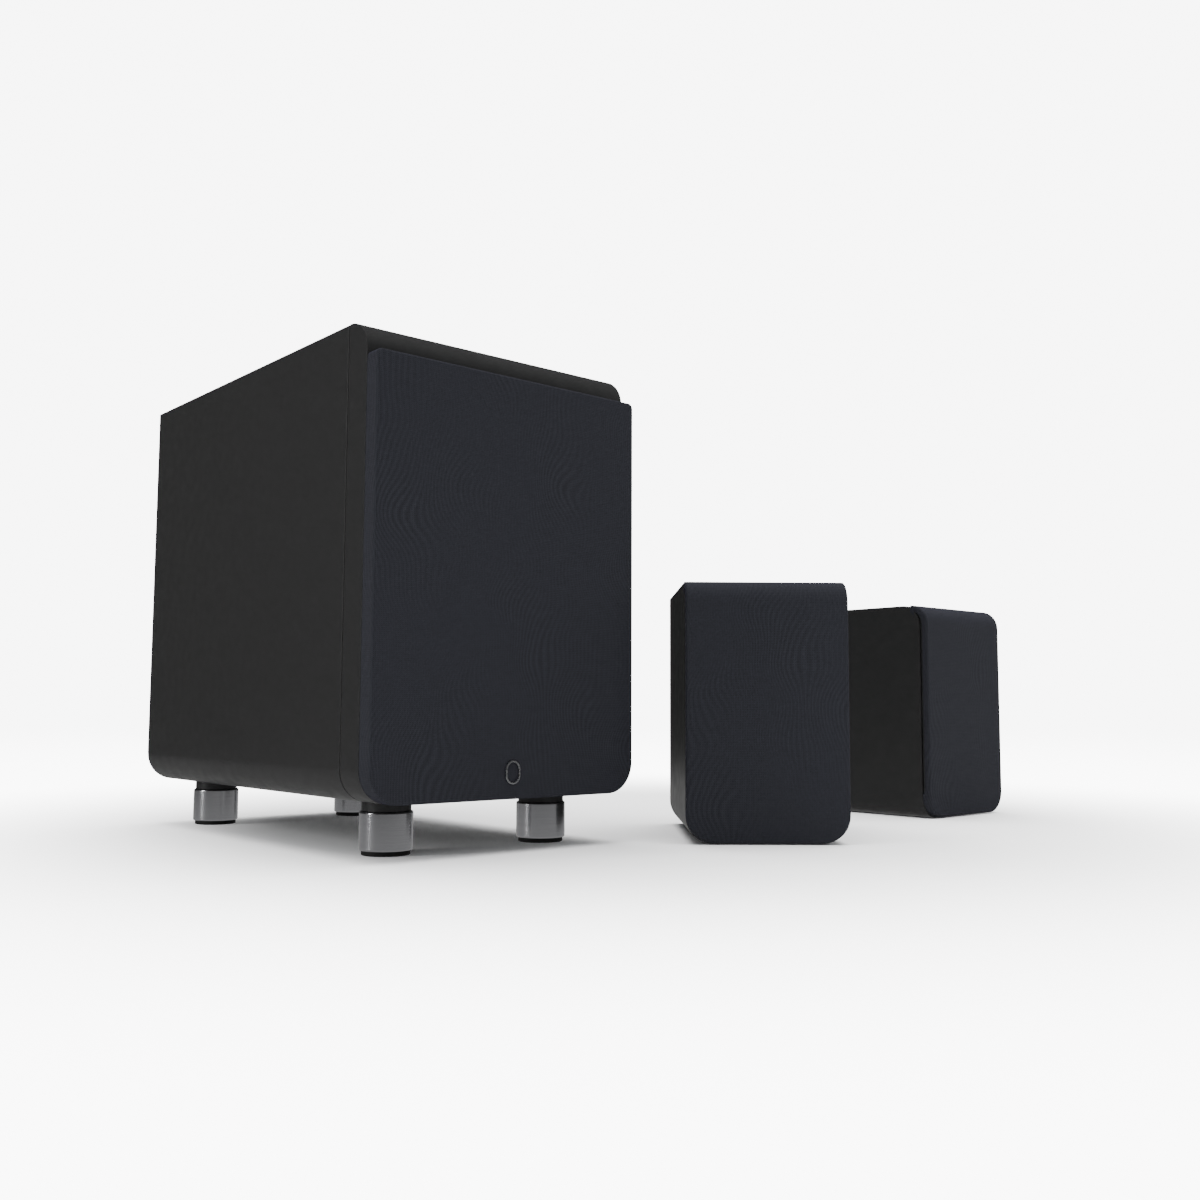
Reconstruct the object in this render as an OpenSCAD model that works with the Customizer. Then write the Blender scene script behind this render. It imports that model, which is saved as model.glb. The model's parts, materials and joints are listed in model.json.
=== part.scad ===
// Speaker set: one active subwoofer on four feet and two small satellite speakers.
// X runs to the right along the fronts, Y runs from the fronts to the backs, Z is up.
// The origin is on the floor, at the middle of the set's overall box.

/* [Subwoofer cabinet] */
// Width of the subwoofer cabinet
sub_w = 218; // [212:1:270]
// Depth of the cabinet with its front baffle
sub_d = 350; // [280:1:430]
// Height of the cabinet
sub_h = 310; // [296:1:380]
// Wall thickness of the cabinet
sub_wall = 15; // [12:1:18]
// Radius of the bottom edges and of the top front edge
sub_round = 22; // [16:1:26]
// Thickness of the front baffle
sub_baffle_t = 24; // [22:1:30]
// Depth and width of the seam groove behind the baffle
seam = 0.8; // [0.4:0.1:1.2]

/* [Subwoofer grille] */
// How far the grille's face stands in front of the baffle
sub_grille_t = 13; // [12:0.5:18]
// Thickness of the grille cloth
cloth_t = 0.8; // [0.5:0.1:1.2]
// Gap between a grille and its baffle
grille_gap = 1; // [0.6:0.1:1.5]
// Width of the grille frame's rails
sub_rail_w = 9; // [7:0.5:9]
// Radius of the pegs that hold a grille
peg_r = 3; // [2:0.5:3.5]
// How far a peg reaches into the baffle
peg_l = 9; // [6:0.5:10]
// Width and height of the badge ring
badge_w = 12; // [8:1:16]
badge_h = 16; // [12:1:20]

/* [Feet] */
// Height of the cabinet's underside above the floor
foot_h = 36; // [28:1:44]
// Outer radius of the steel sleeve
foot_r = 17.8; // [14:0.2:21]
// Height of the black collar above the sleeve
collar_h = 7.2; // [5:0.2:9]
// Height of the rubber pad
pad_h = 3; // [2:0.5:4]
// Distance of a foot's axis from the cabinet's side
foot_side = 44; // [30:1:60]
// Distance of a foot's axis from the cabinet's front and back
foot_end = 39; // [28:1:60]

/* [Subwoofer driver] */
// Outer radius of the driver's frame
drv_r = 102; // [96:0.5:104]
// Height of the driver's axis above the cabinet's underside
drv_z = 150; // [145:1:165]

/* [Amplifier] */
// Width and height of the rear plate
plate_w = 182; // [170:1:200]
plate_h = 250; // [240:1:275]
// Thickness of the rear plate
plate_t = 3; // [2:0.5:4]
// Radius and length of a control knob
knob_r = 8.5; // [7:0.5:10]
knob_l = 13; // [10:0.5:16]

/* [Satellites] */
// Width of a satellite
sat_w = 118; // [104:1:145]
// Height of a satellite
sat_h = 190; // [184:1:230]
// Depth of a satellite's cabinet with its baffle
sat_d = 151; // [130:1:182]
// Wall thickness of a satellite
sat_wall = 9; // [8:0.5:11]
// Radius of the bottom edges
sat_round = 20; // [14:1:22]
// Radius of the top front edge, the same on the cabinet and on the grille
sat_top_round = 18; // [14:1:20]
// How far the grille's face stands in front of the baffle
sat_grille_t = 8; // [7:0.5:10]
// Thickness of the cabinet's front wall
sat_front_t = 16; // [14:0.5:20]

/* [Layout] */
// Clear width between the subwoofer and the nearest corner of the left satellite
left_clear = 24; // [15:1:80]
// How far the left satellite stands in front of the subwoofer's baffle
left_front = 81; // [0:1:120]
// How far the left satellite is turned, in degrees
left_turn = -40; // [-45:1:0]
// Clear width between the subwoofer and the right satellite
right_clear = 325; // [280:1:500]
// How far the right satellite stands in front of the subwoofer's baffle
right_front = 38; // [0:1:120]

/* [Hidden] */
$fn = 64;

eps = 0.01;
slip = 0.2;          // radial clearance of a peg in its hole
seat_gap = 0.3;      // clearance of a part in its recess
run_gap = 0.05;      // radial clearance of a shaft that turns in its hole
pilot_gap = 0.1;     // radial clearance of a screw in its pilot hole
pass_gap = 0.4;      // radial clearance of a screw in the part it holds
wood = "#1c1c1c";
cloth = "#23242a";
plastic = "#151517";
metal = "#a8aaad";
zinc = "#8d9094";
paper = "#2b2b2e";
rubber = "#0e0e0f";

// where the speakers stand, measured from the middle of the subwoofer's front
left_x = sub_w/2 + left_clear + sat_w/2*cos(left_turn);
right_x = sub_w/2 + right_clear + sat_w/2;
left_tip = -left_front + sat_w/2*sin(left_turn) - sat_grille_t*cos(left_turn);
front_edge = min(left_tip, -right_front - sat_grille_t, -sub_grille_t);
back_edge = sub_d + plate_t + 1 + knob_l;
shift_x = (sub_w/2 - right_x - sat_w/2)/2;
shift_y = -(front_edge + back_edge)/2;

// subwoofer grille: it ends where the top front rounding begins
sub_grille_h = sub_h - sub_round - 0.7;
sub_grille_corner = 4;
badge_z = 18;
badge_t = 1.2;
badge_line = 1.3;
peg_in = 14;         // pegs' distance from the grille's edges
peg_low = 30;
// driver seat
drv_t = 5;           // flange thickness
drv_sink = 5;        // how far the flange's face lies behind the baffle's face
drv_land = 10.5;     // width of the flange's landing on the baffle
cutout_r = drv_r - drv_land;
coil_r = 26;
roll_r = 8;
lip_r = cutout_r - 9.5;
edge_r = lip_r - 2*roll_r;
neck_y = 57;
cone_t = 1.2;
screw_r = 1.9;
screw_head_r = 3.6;
screw_in = 10;       // how far a screw reaches into the wood
drv_screws = 8;
tab_r = 76;          // where the leads meet the driver, from its axis
tab_y = 49;          // and behind the baffle's face
lead_r = 1.2;
// amplifier
plate_z = foot_h + sub_h/2 + 5;
cut_w = plate_w - 22;
cut_h = plate_h - 24;
row_z = foot_h + sub_h - 65;
mains_z = foot_h + 68;
knob_x = [48, 14];
knob_shaft_r = 3;
phase_x = -18;
phase_w = 4;
phase_travel = 5;
slot_w = phase_w + phase_travel + 1;
jack_x = [-46, -66];
jack_r = 4.15;       // radius of a jack's shell
lamp_x = -18;
inlet_x = -11;
rocker_x = 14;
mains_w = 48;
mains_h = 27;
sink_w = 62;
sink_h = 70;
fins = 8;
board_y = 32;        // how far the board stands inside the plate
plug_t = 8;          // depth of the leads' plug on the board
axle_r = 1.5;
rocker_off = 7;      // degrees that the rocker leans at rest
pivot_y = sub_d + plate_t - 2;
// feet
foot_core_r = foot_r - 2.5;
collar_r = foot_r - 1.4;
sleeve_top = foot_h - collar_h;
bolt_r = 3;
bolt_head_r = 5;
bolt_head_z = pad_h + 3;
bolt_head_h = 4;
nut_h = 5;
// satellite drivers
sat_drv_r = 44;
sat_drv_z = 60;
sat_drv_t = 3;
sat_drv_sink = 3;
sat_cut_r = 38.5;
sat_drv_ring = 41.3; // radius of the woofer's screw circle
sat_screw_r = 1.3;
sat_head_r = 2.4;
sat_screw_l = 10;
sat_peg_r = 2;
sat_peg_l = 6;
sat_roll = 3.5;
sat_lip = 34.5;
sat_edge = sat_lip - 2*sat_roll;
sat_coil = 10.2;
sat_neck = 21;
sat_lead_r = 0.8;
sat_tab_y = 21;      // where the woofer's leads meet it, behind the front
twt_r = 30;
twt_z = sat_h - 54;
twt_t = 3;
twt_y = 19;          // back of the tweeter's magnet
twt_ring = 26.3;     // radius of the tweeter's screw circle
// satellite back
panel_t = 4;
panel_rim = 4;
cup_z = 55;
cup_w = 50;
cup_h = 34;
cup_d = 17;
stud_x = 9.5;
stud_r = 2;
stud_in = 10;        // how far a stud reaches behind the cup's floor
insert_z = 112;
insert_r = 2.55;
insert_l = 12;
// satellite grille
grille_reach = 9;    // how far the grille laps back over the top
sat_lift = 1;        // how far the grille clears the floor
sat_gap = 0.8;       // between the grille and the cabinet
sat_cloth = 0.6;     // thickness of the cloth
sat_rail = 6;        // width of the frame's rails
sat_top_rail = 20;

// ---------- shapes that several parts share ----------

// A front outline with rounded bottom corners. Its top corners are square unless top is given.
module front_outline(w, h, r, top = 0) {
    translate([-w/2, r]) square([w, h - r - top]);
    translate([-w/2 + r, 0]) square([w - 2*r, h]);
    for (s = [-1, 1]) translate([s*(w/2 - r), r]) circle(r);
    if (top > 0) {
        translate([-w/2 + top, r]) square([w - 2*top, h - r]);
        for (s = [-1, 1]) translate([s*(w/2 - top), h - top]) circle(top);
    }
}

// A side outline from front to back, with its top front corner rounded.
module side_outline(d, h, r) {
    square([d, h - r]);
    translate([r, 0]) square([d - r, h]);
    translate([r, h - r]) circle(r);
}

// Extrudes a front outline from the plane y0 back to y1.
module front_prism(y0, y1) {
    translate([0, y1, 0]) rotate([90, 0, 0]) linear_extrude(y1 - y0) children();
}

// Extrudes a side outline across the width w.
module side_prism(w) {
    translate([-w/2, 0, 0]) rotate([90, 0, 90]) linear_extrude(w) children();
}

// The outer form of a cabinet: front outline and side outline together.
module body_form(w, d, h, r, top_r) {
    intersection() {
        front_prism(0, d) front_outline(w, h, r);
        side_prism(w + 2) side_outline(d, h, top_r);
    }
}

// Turns a shape made along +Z so that it runs along +Y.
module along_y() {
    rotate([-90, 0, 0]) children();
}

// A cylinder along +Y, starting at point p.
module rod(p, r, l) {
    translate(p) along_y() cylinder(r = r, h = l);
}

// One corner-cutting pass over a route, which keeps its two ends.
function cut_corners(p) = [
    p[0],
    for (i = [0 : len(p) - 2]) each [p[i]*0.75 + p[i + 1]*0.25, p[i]*0.25 + p[i + 1]*0.75],
    p[len(p) - 1]
];

function unit(v) = v/norm(v);

// One ring of the tube around point i of a route that runs roughly in a YZ plane.
function lead_ring(p, i, r, sides) =
    let (along = unit(p[min(i + 1, len(p) - 1)] - p[max(i - 1, 0)]))
    let (u = unit(cross(along, [1, 0, 0])), v = cross(along, u))
    [for (k = [0 : sides - 1]) p[i] + r*cos(k*360/sides)*u + r*sin(k*360/sides)*v];

// An insulated lead that runs through the points of a route.
module lead(points, r) {
    sides = 8;
    p = cut_corners(points);
    rings = [for (i = [0 : len(p) - 1]) each lead_ring(p, i, r, sides)];
    last = (len(p) - 1)*sides;
    skin = [for (i = [0 : len(p) - 2]) for (k = [0 : sides - 1])
        [i*sides + k, (i + 1)*sides + k, (i + 1)*sides + (k + 1)%sides, i*sides + (k + 1)%sides]];
    front = [for (k = [0 : sides - 1]) k];
    back = [for (k = [sides - 1 : -1 : 0]) last + k];
    polyhedron(rings, concat(skin, [front, back]));
}

// A pan head screw along +Y: its head's underside is at p.
module screw(p, head_r, head_t, r, l) {
    translate(p) along_y() {
        difference() {
            translate([0, 0, -head_t]) cylinder(r = head_r, h = head_t);
            for (a = [0, 90]) rotate([0, 0, a])
                translate([-head_r*0.55, -head_r*0.1, -head_t - eps])
                    cube([head_r*1.1, head_r*0.2, head_t*0.5]);
        }
        cylinder(r = r, h = l);
    }
}

module at_sub() {
    translate([shift_x, shift_y, 0]) children();
}

module at_left() {
    translate([shift_x + left_x, shift_y - left_front, 0]) rotate([0, 0, left_turn]) children();
}

module at_right() {
    translate([shift_x + right_x, shift_y - right_front, 0]) children();
}

module peg_places() {
    x = sub_w/2 - peg_in;
    for (sx = [-1, 1]) for (z = [peg_low, sub_grille_h - peg_in])
        translate([sx*x, 0, foot_h + z]) children();
}

module foot_places() {
    x = sub_w/2 - foot_side;
    for (sx = [-1, 1]) for (y = [foot_end, sub_d - foot_end]) translate([sx*x, y, 0]) children();
}

module ring_places(count, r, start) {
    for (i = [0 : count - 1]) rotate([0, start + i*360/count, 0]) translate([0, 0, r]) children();
}

module plate_screw_places() {
    x = plate_w/2 - 5.5;
    z = plate_h/2 - 6;
    for (sx = [-1, 1]) for (k = [-1, -1/3, 1/3, 1]) translate([sx*x, 0, plate_z + k*z]) children();
    for (sz = [-1, 1]) translate([0, 0, plate_z + sz*z]) children();
}

// ---------- subwoofer box ----------

module sub_form() {
    translate([0, 0, foot_h]) body_form(sub_w, sub_d, sub_h, sub_round, sub_round);
}

module sub_cabinet() color(wood) at_sub() difference() {
    intersection() {
        sub_form();
        translate([-sub_w, sub_baffle_t, 0]) cube([2*sub_w, sub_d, 2*sub_h]);
    }
    translate([0, 0, foot_h + sub_wall]) front_prism(sub_baffle_t - eps, sub_d - sub_wall)
        front_outline(sub_w - 2*sub_wall, sub_h - 2*sub_wall, max(2, sub_round - sub_wall));
    translate([-cut_w/2, sub_d - sub_wall - 1, plate_z - cut_h/2]) cube([cut_w, sub_wall + 2, cut_h]);
    plate_screw_places() rod([0, sub_d - screw_in - 2, 0], screw_r + pilot_gap, screw_in + 3);
    foot_places() translate([0, 0, foot_h - 1]) cylinder(r = bolt_r + slip, h = sub_wall + 2);
}

module sub_baffle() color(wood) at_sub() difference() {
    union() {
        intersection() {
            sub_form();
            translate([-sub_w, -eps, 0]) cube([2*sub_w, sub_baffle_t - seam + eps, 2*sub_h]);
        }
        translate([0, 0, foot_h + seam]) front_prism(sub_baffle_t - seam - eps, sub_baffle_t)
            front_outline(sub_w - 2*seam, sub_h - 2*seam, sub_round - seam);
    }
    translate([0, 0, foot_h + drv_z]) {
        rod([0, -1, 0], drv_r + seat_gap, drv_sink + drv_t + 1);
        rod([0, 0, 0], cutout_r, sub_baffle_t + 1);
        ring_places(drv_screws, drv_r - drv_land/2, 22.5)
            rod([0, drv_sink, 0], screw_r + pilot_gap, drv_t + screw_in + 2);
    }
    peg_places() rod([0, -1, 0], peg_r + slip, peg_l + 2.5);
}

// ---------- subwoofer grille ----------

module sub_grille_block(inset, y0, y1) {
    translate([0, 0, foot_h + inset]) front_prism(y0, y1)
        front_outline(sub_w - 2*inset, sub_grille_h - 2*inset, sub_round - inset,
            max(1, sub_grille_corner - inset));
}

module sub_grille_cloth() color(cloth) at_sub()
    sub_grille_block(0, -sub_grille_t, -sub_grille_t + cloth_t);

module sub_grille_frame() color(plastic) at_sub() {
    difference() {
        sub_grille_block(cloth_t, -sub_grille_t + cloth_t, -grille_gap);
        sub_grille_block(cloth_t + sub_rail_w, -sub_grille_t - 1, 1);
    }
    // a cross rail behind the badge, kept forward of the driver's roll
    cross_top = 33;
    intersection() {
        sub_grille_block(cloth_t, -sub_grille_t + cloth_t, -sub_grille_t + cloth_t + 3);
        translate([-sub_w/2, -sub_grille_t, foot_h]) cube([sub_w, sub_grille_t, cross_top]);
    }
    peg_places() {
        rod([0, -grille_gap - 4, 0], peg_r + 2.5, 4);
        rod([0, -grille_gap - eps, 0], peg_r, grille_gap + peg_l);
        gusset = 11;
        translate([-gusset/2, -grille_gap - 4 , -gusset/2]) cube([gusset, 4, gusset]);
    }
}

module badge_outline(w, h) {
    r = w/2;
    square([w, h - w], center = true);
    for (s = [-1, 1]) translate([0, s*(h/2 - r)]) circle(r);
}

module sub_grille_badge() color(metal) at_sub()
    translate([0, 0, foot_h + badge_z]) front_prism(-sub_grille_t - badge_t, -sub_grille_t)
        difference() {
            badge_outline(badge_w, badge_h);
            badge_outline(badge_w - 2*badge_line, badge_h - 2*badge_line);
        }

// ---------- drivers ----------

// A basket: flange, slanted wall with windows and a neck ring, along +Y from its flange's face.
module basket(r, cut_r, lip, t, neck_r, neck, wall, windows, start) {
    top_r = cut_r - 1;
    difference() {
        rotate_extrude($fn = 96) {
            translate([lip, 0]) square([r - lip, t]);
            polygon([[top_r, t], [neck_r + wall, neck + wall], [neck_r - 4*wall, neck + wall],
                [neck_r - 4*wall, neck], [neck_r - eps, neck], [top_r - wall, t]]);
        }
        for (i = [0 : windows - 1]) rotate([0, 0, start + i*360/windows])
            translate([neck_r*0.75, -neck_r*0.3, t + (neck - t)*0.25])
                cube([cut_r, neck_r*0.6, (neck - t)*0.55]);
    }
}

// A half roll surround with a landing on each side.
module surround(edge, roll, thick, land) {
    mid = edge + roll;
    rotate_extrude($fn = 96) {
        difference() {
            translate([mid, 0]) circle(roll, $fn = 48);
            translate([mid, 0]) circle(roll - thick, $fn = 48);
            translate([mid - roll - 1, 0]) square([2*roll + 2, roll + 1]);
        }
        translate([mid + roll - thick, -thick]) square([land + thick, thick]);
        translate([edge - land, -thick]) square([land + thick, thick]);
    }
}

// The motor: top plate, magnet ring and yoke with its pole, around a coil gap.
module motor(coil, top_y, plate, plate_r, magnet, magnet_r, clear) {
    rotate_extrude($fn = 96) translate([coil + clear, top_y]) square([plate_r - coil - clear, plate]);
    rotate_extrude($fn = 96) translate([coil + clear + 3, top_y + plate])
        square([magnet_r - coil - clear - 3, magnet]);
    translate([0, 0, top_y + plate + magnet]) cylinder(r = plate_r, h = plate);
    translate([0, 0, top_y - 1]) cylinder(r = coil - 2, h = plate + magnet + 1 + eps);
}

// A dome or dust cap: base radius r, height h, apex towards -Z, its rim at z = base.
module cap(r, h, base, thick) {
    ball = (r*r + h*h)/(2*h);
    rotate_extrude($fn = 72) intersection() {
        difference() {
            translate([0, base - h + ball]) circle(ball, $fn = 144);
            translate([0, base - h + ball]) circle(ball - thick, $fn = 144);
        }
        translate([0, base - h - 1]) square([r + 1, h + 1]);
    }
}

module at_drv() {
    at_sub() translate([0, drv_sink, foot_h + drv_z]) along_y() children();
}

// Depth of a cone's front at radius r, from its edge radius to its neck radius.
function cone_front(r, edge, neck, depth) = (edge - r)*depth/(edge - neck);

cone_d = 29;
cone_lip = 2.6;
cap_r = 34;
spider_y = 38;
spider_r = 65;
spider_flat = 5.5;   // width of the spider's flat rim

module sub_woofer_basket() color(plastic) at_drv() difference() {
    union() {
        basket(drv_r, cutout_r, lip_r, drv_t, 58, neck_y, 3, 6, 0);
        // terminal block on the upper arm
        translate([-8, -tab_r - 4, tab_y - drv_sink - 9]) cube([16, 13, 9]);
        rotate_extrude($fn = 96) difference() {
            translate([spider_r - spider_flat + 0.5, spider_y + 1]) square([16, 3]);
            // trimmed to the inside of the slanted wall
            polygon([[cutout_r - 2.5, drv_t], [59.5, neck_y], [140, neck_y], [140, drv_t]]);
        }
    }
    for (i = [0 : drv_screws - 1]) rotate([0, 0, 22.5 + i*360/drv_screws])
        translate([drv_r - drv_land/2, 0, -1]) cylinder(r = screw_r + pass_gap, h = drv_t + 2);
}

module sub_woofer_motor() color(zinc) at_drv() motor(coil_r, neck_y + 3, 6, 50, 20, 56, 1.4);

module sub_woofer_cone() color(paper) at_drv() {
    rotate_extrude($fn = 96) polygon([
        [edge_r, 0], [edge_r, cone_t], [coil_r + cone_t, cone_d + cone_t + 1],
        [coil_r, cone_d + cone_t + 1], [coil_r, cone_d], [edge_r - cone_lip, 0]]);
    cap(cap_r, 11, cone_front(cap_r, edge_r - cone_lip, coil_r, cone_d) + 0.5, 1);
}

module sub_woofer_surround() color(rubber) at_drv() surround(edge_r, roll_r, 1, 5);

module sub_woofer_spider() color("#b08a4a") at_drv() {
    steps = 60;
    r0 = coil_r + 0.1;
    span = spider_r - spider_flat - r0;
    waves = [for (i = [0 : steps]) [r0 + span*i/steps, spider_y + 1.6*sin(i/steps*360*5)]];
    points = concat(waves, [[spider_r, spider_y]]);
    back = [for (i = [steps + 1 : -1 : 0]) points[i] + [0, 0.8]];
    rotate_extrude($fn = 72) polygon(concat(points, back));
}

module sub_woofer_voice_coil() color("#b5652b") at_drv() {
    rotate_extrude($fn = 72) {
        translate([coil_r - 1, cone_d]) square([0.95, 44]);
        translate([coil_r - 1, cone_d + 30]) square([1.7, 13]);
    }
}

module sub_screws() color(zinc) at_sub() {
    translate([0, 0, foot_h + drv_z]) ring_places(drv_screws, drv_r - drv_land/2, 22.5)
        screw([0, drv_sink, 0], screw_head_r, 2.4, screw_r, drv_t + screw_in);
    plate_screw_places() mirror([0, 1, 0])
        screw([0, -sub_d - plate_t, 0], screw_head_r, 2, screw_r, plate_t + screw_in);
}

// two leads from the amplifier's board, over the motor, to the driver
module sub_woofer_leads() color("#8a1c1c") at_sub() for (x = [-3, 3])
    lead([
        [x, tab_y, foot_h + drv_z + tab_r],
        [x, 80, foot_h + drv_z + tab_r],
        [x, 140, foot_h + drv_z + 66],
        [x, 240, foot_h + drv_z + 74],
        [x, sub_d - 60, row_z],
        [x, sub_d - board_y - plug_t, row_z]
    ], lead_r);

// ---------- amplifier ----------

module sub_amp_plate() color(plastic) at_sub() difference() {
    translate([-plate_w/2, sub_d, plate_z - plate_h/2]) cube([plate_w, plate_t, plate_h]);
    plate_screw_places() rod([0, sub_d - 1, 0], screw_r + pass_gap, plate_t + 2);
    for (x = knob_x) rod([x, sub_d - 1, row_z], knob_shaft_r + pass_gap, plate_t + 2);
    for (x = jack_x) rod([x, sub_d - 1, row_z], 4, plate_t + 2);
    rod([lamp_x, sub_d - 1, row_z + 18], 1.6, plate_t + 2);
    translate([phase_x - slot_w/2, sub_d - 1, row_z - 2]) cube([slot_w, plate_t + 2, 4]);
    translate([-mains_w/2, sub_d - 1, mains_z - mains_h/2]) cube([mains_w, plate_t + 2, mains_h]);
}

module sub_amp_board() color("#1f4a2c") at_sub() {
    w = cut_w - 16;
    h = 76;
    z = row_z - h + 16;
    y = sub_d - board_y;
    translate([-w/2, y, z]) cube([w, 1.6, h]);
    for (sx = [-1, 1]) for (pz = [5, h - 5]) rod([sx*(w/2 - 5), y + 1.6, z + pz], 3, board_y - 1.6);
    // reservoir capacitors and two smaller parts on the inner side
    for (x = [-45, -15, 15]) rod([x, y - 34, z + 22], 12, 34);
    for (x = [42, 56]) rod([x, y - 16, z + 20], 6, 16);
    translate([-7, y - plug_t, row_z - 5]) cube([14, plug_t + eps, 10]);
    // potentiometer bodies behind the plate, each with a socket for its knob's shaft
    for (x = knob_x) difference() {
        rod([x, sub_d - 14, row_z], 8.5, 14);
        rod([x, sub_d - 10, row_z], knob_shaft_r + run_gap, 11);
    }
    // body of the slide switch
    difference() {
        translate([phase_x - 9, sub_d - 9, row_z - 5]) cube([18, 9, 10]);
        translate([phase_x - slot_w/2, sub_d - 6, row_z - 2]) cube([slot_w, 7, 4]);
    }
}

module sub_transformer() color("#c9a23a") at_sub() translate([-36, sub_d, row_z - 112]) mirror([0, 1, 0])
    along_y() {
        rotate_extrude($fn = 72) translate([14, 0]) {
            translate([0, 4]) square([26, 24]);
            translate([4, 0]) square([18, 32]);
            for (x = [4, 22]) for (y = [4, 28]) translate([x, y]) circle(4, $fn = 32);
        }
        cylinder(r = 4, h = 38);
        translate([0, 0, 32]) cylinder(r = 20, h = 2);
    }

module sub_heat_sink() color("#2a2b2d") at_sub() translate([14, sub_d, row_z - 146]) {
    base = 5;
    fin_t = 2;
    fin_l = 19;
    pitch = (sink_w - fin_t)/(fins - 1);
    translate([0, -base, 0]) cube([sink_w, base, sink_h]);
    for (i = [0 : fins - 1]) translate([i*pitch, -base - fin_l, 0]) cube([fin_t, fin_l + eps, sink_h]);
}

module knob(x) {
    y = sub_d + plate_t + 1;
    grooves = 18;
    difference() {
        rod([x, y, row_z], knob_r, knob_l);
        for (i = [0 : grooves - 1]) translate([x, 0, row_z]) rotate([0, i*360/grooves, 0])
            rod([knob_r + 0.3, y + 1.5, 0], 0.7, knob_l);
        translate([x - 0.5, y + knob_l - 0.8, row_z + 2]) cube([1, 2, knob_r]);
    }
    rod([x, sub_d - 9, row_z], knob_shaft_r, 10 + plate_t + eps);
}

module sub_level_knob() color(plastic) at_sub() knob(knob_x[0]);
module sub_crossover_knob() color(plastic) at_sub() knob(knob_x[1]);

module sub_phase_switch() color("#d8d8d8") at_sub()
    translate([phase_x - slot_w/2 + 0.5, sub_d - 5, row_z - 1.6]) cube([phase_w, plate_t + 7.5, 3.2]);

module sub_mains_inlet() color(plastic) at_sub() {
    y1 = sub_d + plate_t;
    deep = 24;
    difference() {
        union() {
            translate([-mains_w/2 + 0.1, y1 - deep, mains_z - mains_h/2 + 0.1])
                cube([mains_w - 0.2, deep + eps, mains_h - 0.2]);
            translate([-mains_w/2 - 3, y1, mains_z - mains_h/2 - 3]) cube([mains_w + 6, 2, mains_h + 6]);
        }
        // the socket, with its two lower corners cut
        translate([inlet_x, y1 + 3, mains_z]) rotate([90, 0, 0]) linear_extrude(20)
            polygon([[-12, 8], [12, 8], [12, -4], [8, -8], [-8, -8], [-12, -4]]);
        translate([rocker_x - 6.5, y1 - 14, mains_z - 11.2]) cube([13, 20, 22.4]);
        translate([rocker_x - 8.2, pivot_y, mains_z]) rotate([0, 90, 0])
            cylinder(r = axle_r + run_gap, h = 16.4);
    }
    // three blades
    for (p = [[-7, -1.5], [7, -1.5], [0, 2.5]])
        translate([inlet_x + p[0] - 1, y1 - 17 - eps, mains_z + p[1] - 2]) cube([2, 13, 4]);
}

module sub_power_rocker() color("#26262a") at_sub()
    translate([rocker_x, pivot_y, mains_z]) rotate([-rocker_off, 0, 0]) {
        translate([-6.2, 0, 0]) rotate([90, 0, 90]) linear_extrude(12.4)
            polygon([[-5, -8], [-5, 8], [3, 9], [5.5, 9], [4, 0], [5.5, -9], [3, -9]]);
        translate([-7.8, 0, 0]) rotate([0, 90, 0]) cylinder(r = axle_r, h = 15.6);
    }

module sub_input_jacks() color(metal) at_sub() for (x = jack_x) {
    y1 = sub_d + plate_t;
    difference() {
        union() {
            rod([x, sub_d - 10, row_z], 3.9, 10 + plate_t + 1);
            rod([x, sub_d - 12, row_z], 5.5, 12);
            rod([x, y1, row_z], 6, 2);
            rod([x, y1 + 1, row_z], jack_r, 10);
        }
        rod([x, y1 + 1, row_z], 1.6, 12);
    }
}

module sub_status_lamp() color("#3aa0ff") at_sub() {
    rod([lamp_x, sub_d - 4, row_z + 18], 1.5, 4 + plate_t + 0.6);
    rod([lamp_x, sub_d - 5, row_z + 18], 2.6, 5);
}

// ---------- feet ----------

module sub_foot_cores() color(plastic) at_sub() foot_places() difference() {
    union() {
        translate([0, 0, pad_h]) cylinder(r = foot_core_r, h = foot_h - pad_h);
        translate([0, 0, sleeve_top]) cylinder(r = collar_r, h = collar_h);
    }
    translate([0, 0, -1]) cylinder(r = bolt_r + seat_gap, h = foot_h + 2);
    translate([0, 0, -1]) cylinder(r = bolt_head_r + 1, h = bolt_head_z + bolt_head_h + 1);
}

module sub_foot_sleeves() color(metal) at_sub() foot_places()
    rotate_extrude() {
        h = sleeve_top - pad_h;
        edge = 1.4;
        translate([foot_core_r, pad_h]) difference() {
            union() {
                square([foot_r - foot_core_r - edge, h]);
                translate([0, edge]) square([foot_r - foot_core_r, h - 2*edge]);
                for (y = [edge, h - edge]) translate([foot_r - foot_core_r - edge, y])
                    circle(edge, $fn = 32);
            }
            translate([-5, -1]) square([5, h + 2]);
        }
    }

module sub_foot_pads() color(rubber) at_sub() foot_places() {
    cylinder(r = foot_r - 1.6, h = pad_h);
    cylinder(r = bolt_head_r + 0.5, h = pad_h + 2);
}

module sub_foot_bolts() color(zinc) at_sub() foot_places() {
    top = foot_h + sub_wall + nut_h + 3;
    translate([0, 0, bolt_head_z]) cylinder(r = bolt_head_r, h = bolt_head_h);
    translate([0, 0, bolt_head_z + 3]) cylinder(r = bolt_r, h = top - bolt_head_z - 3);
    translate([0, 0, foot_h + sub_wall]) difference() {
        cylinder(r = 5.8, h = nut_h, $fn = 6);
        translate([0, 0, -1]) cylinder(r = bolt_r + run_gap, h = nut_h + 2);
    }
}

// ---------- satellites, each about its own front and floor ----------

module sat_form() {
    body_form(sat_w, sat_d, sat_h, sat_round, sat_top_round);
}

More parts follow.
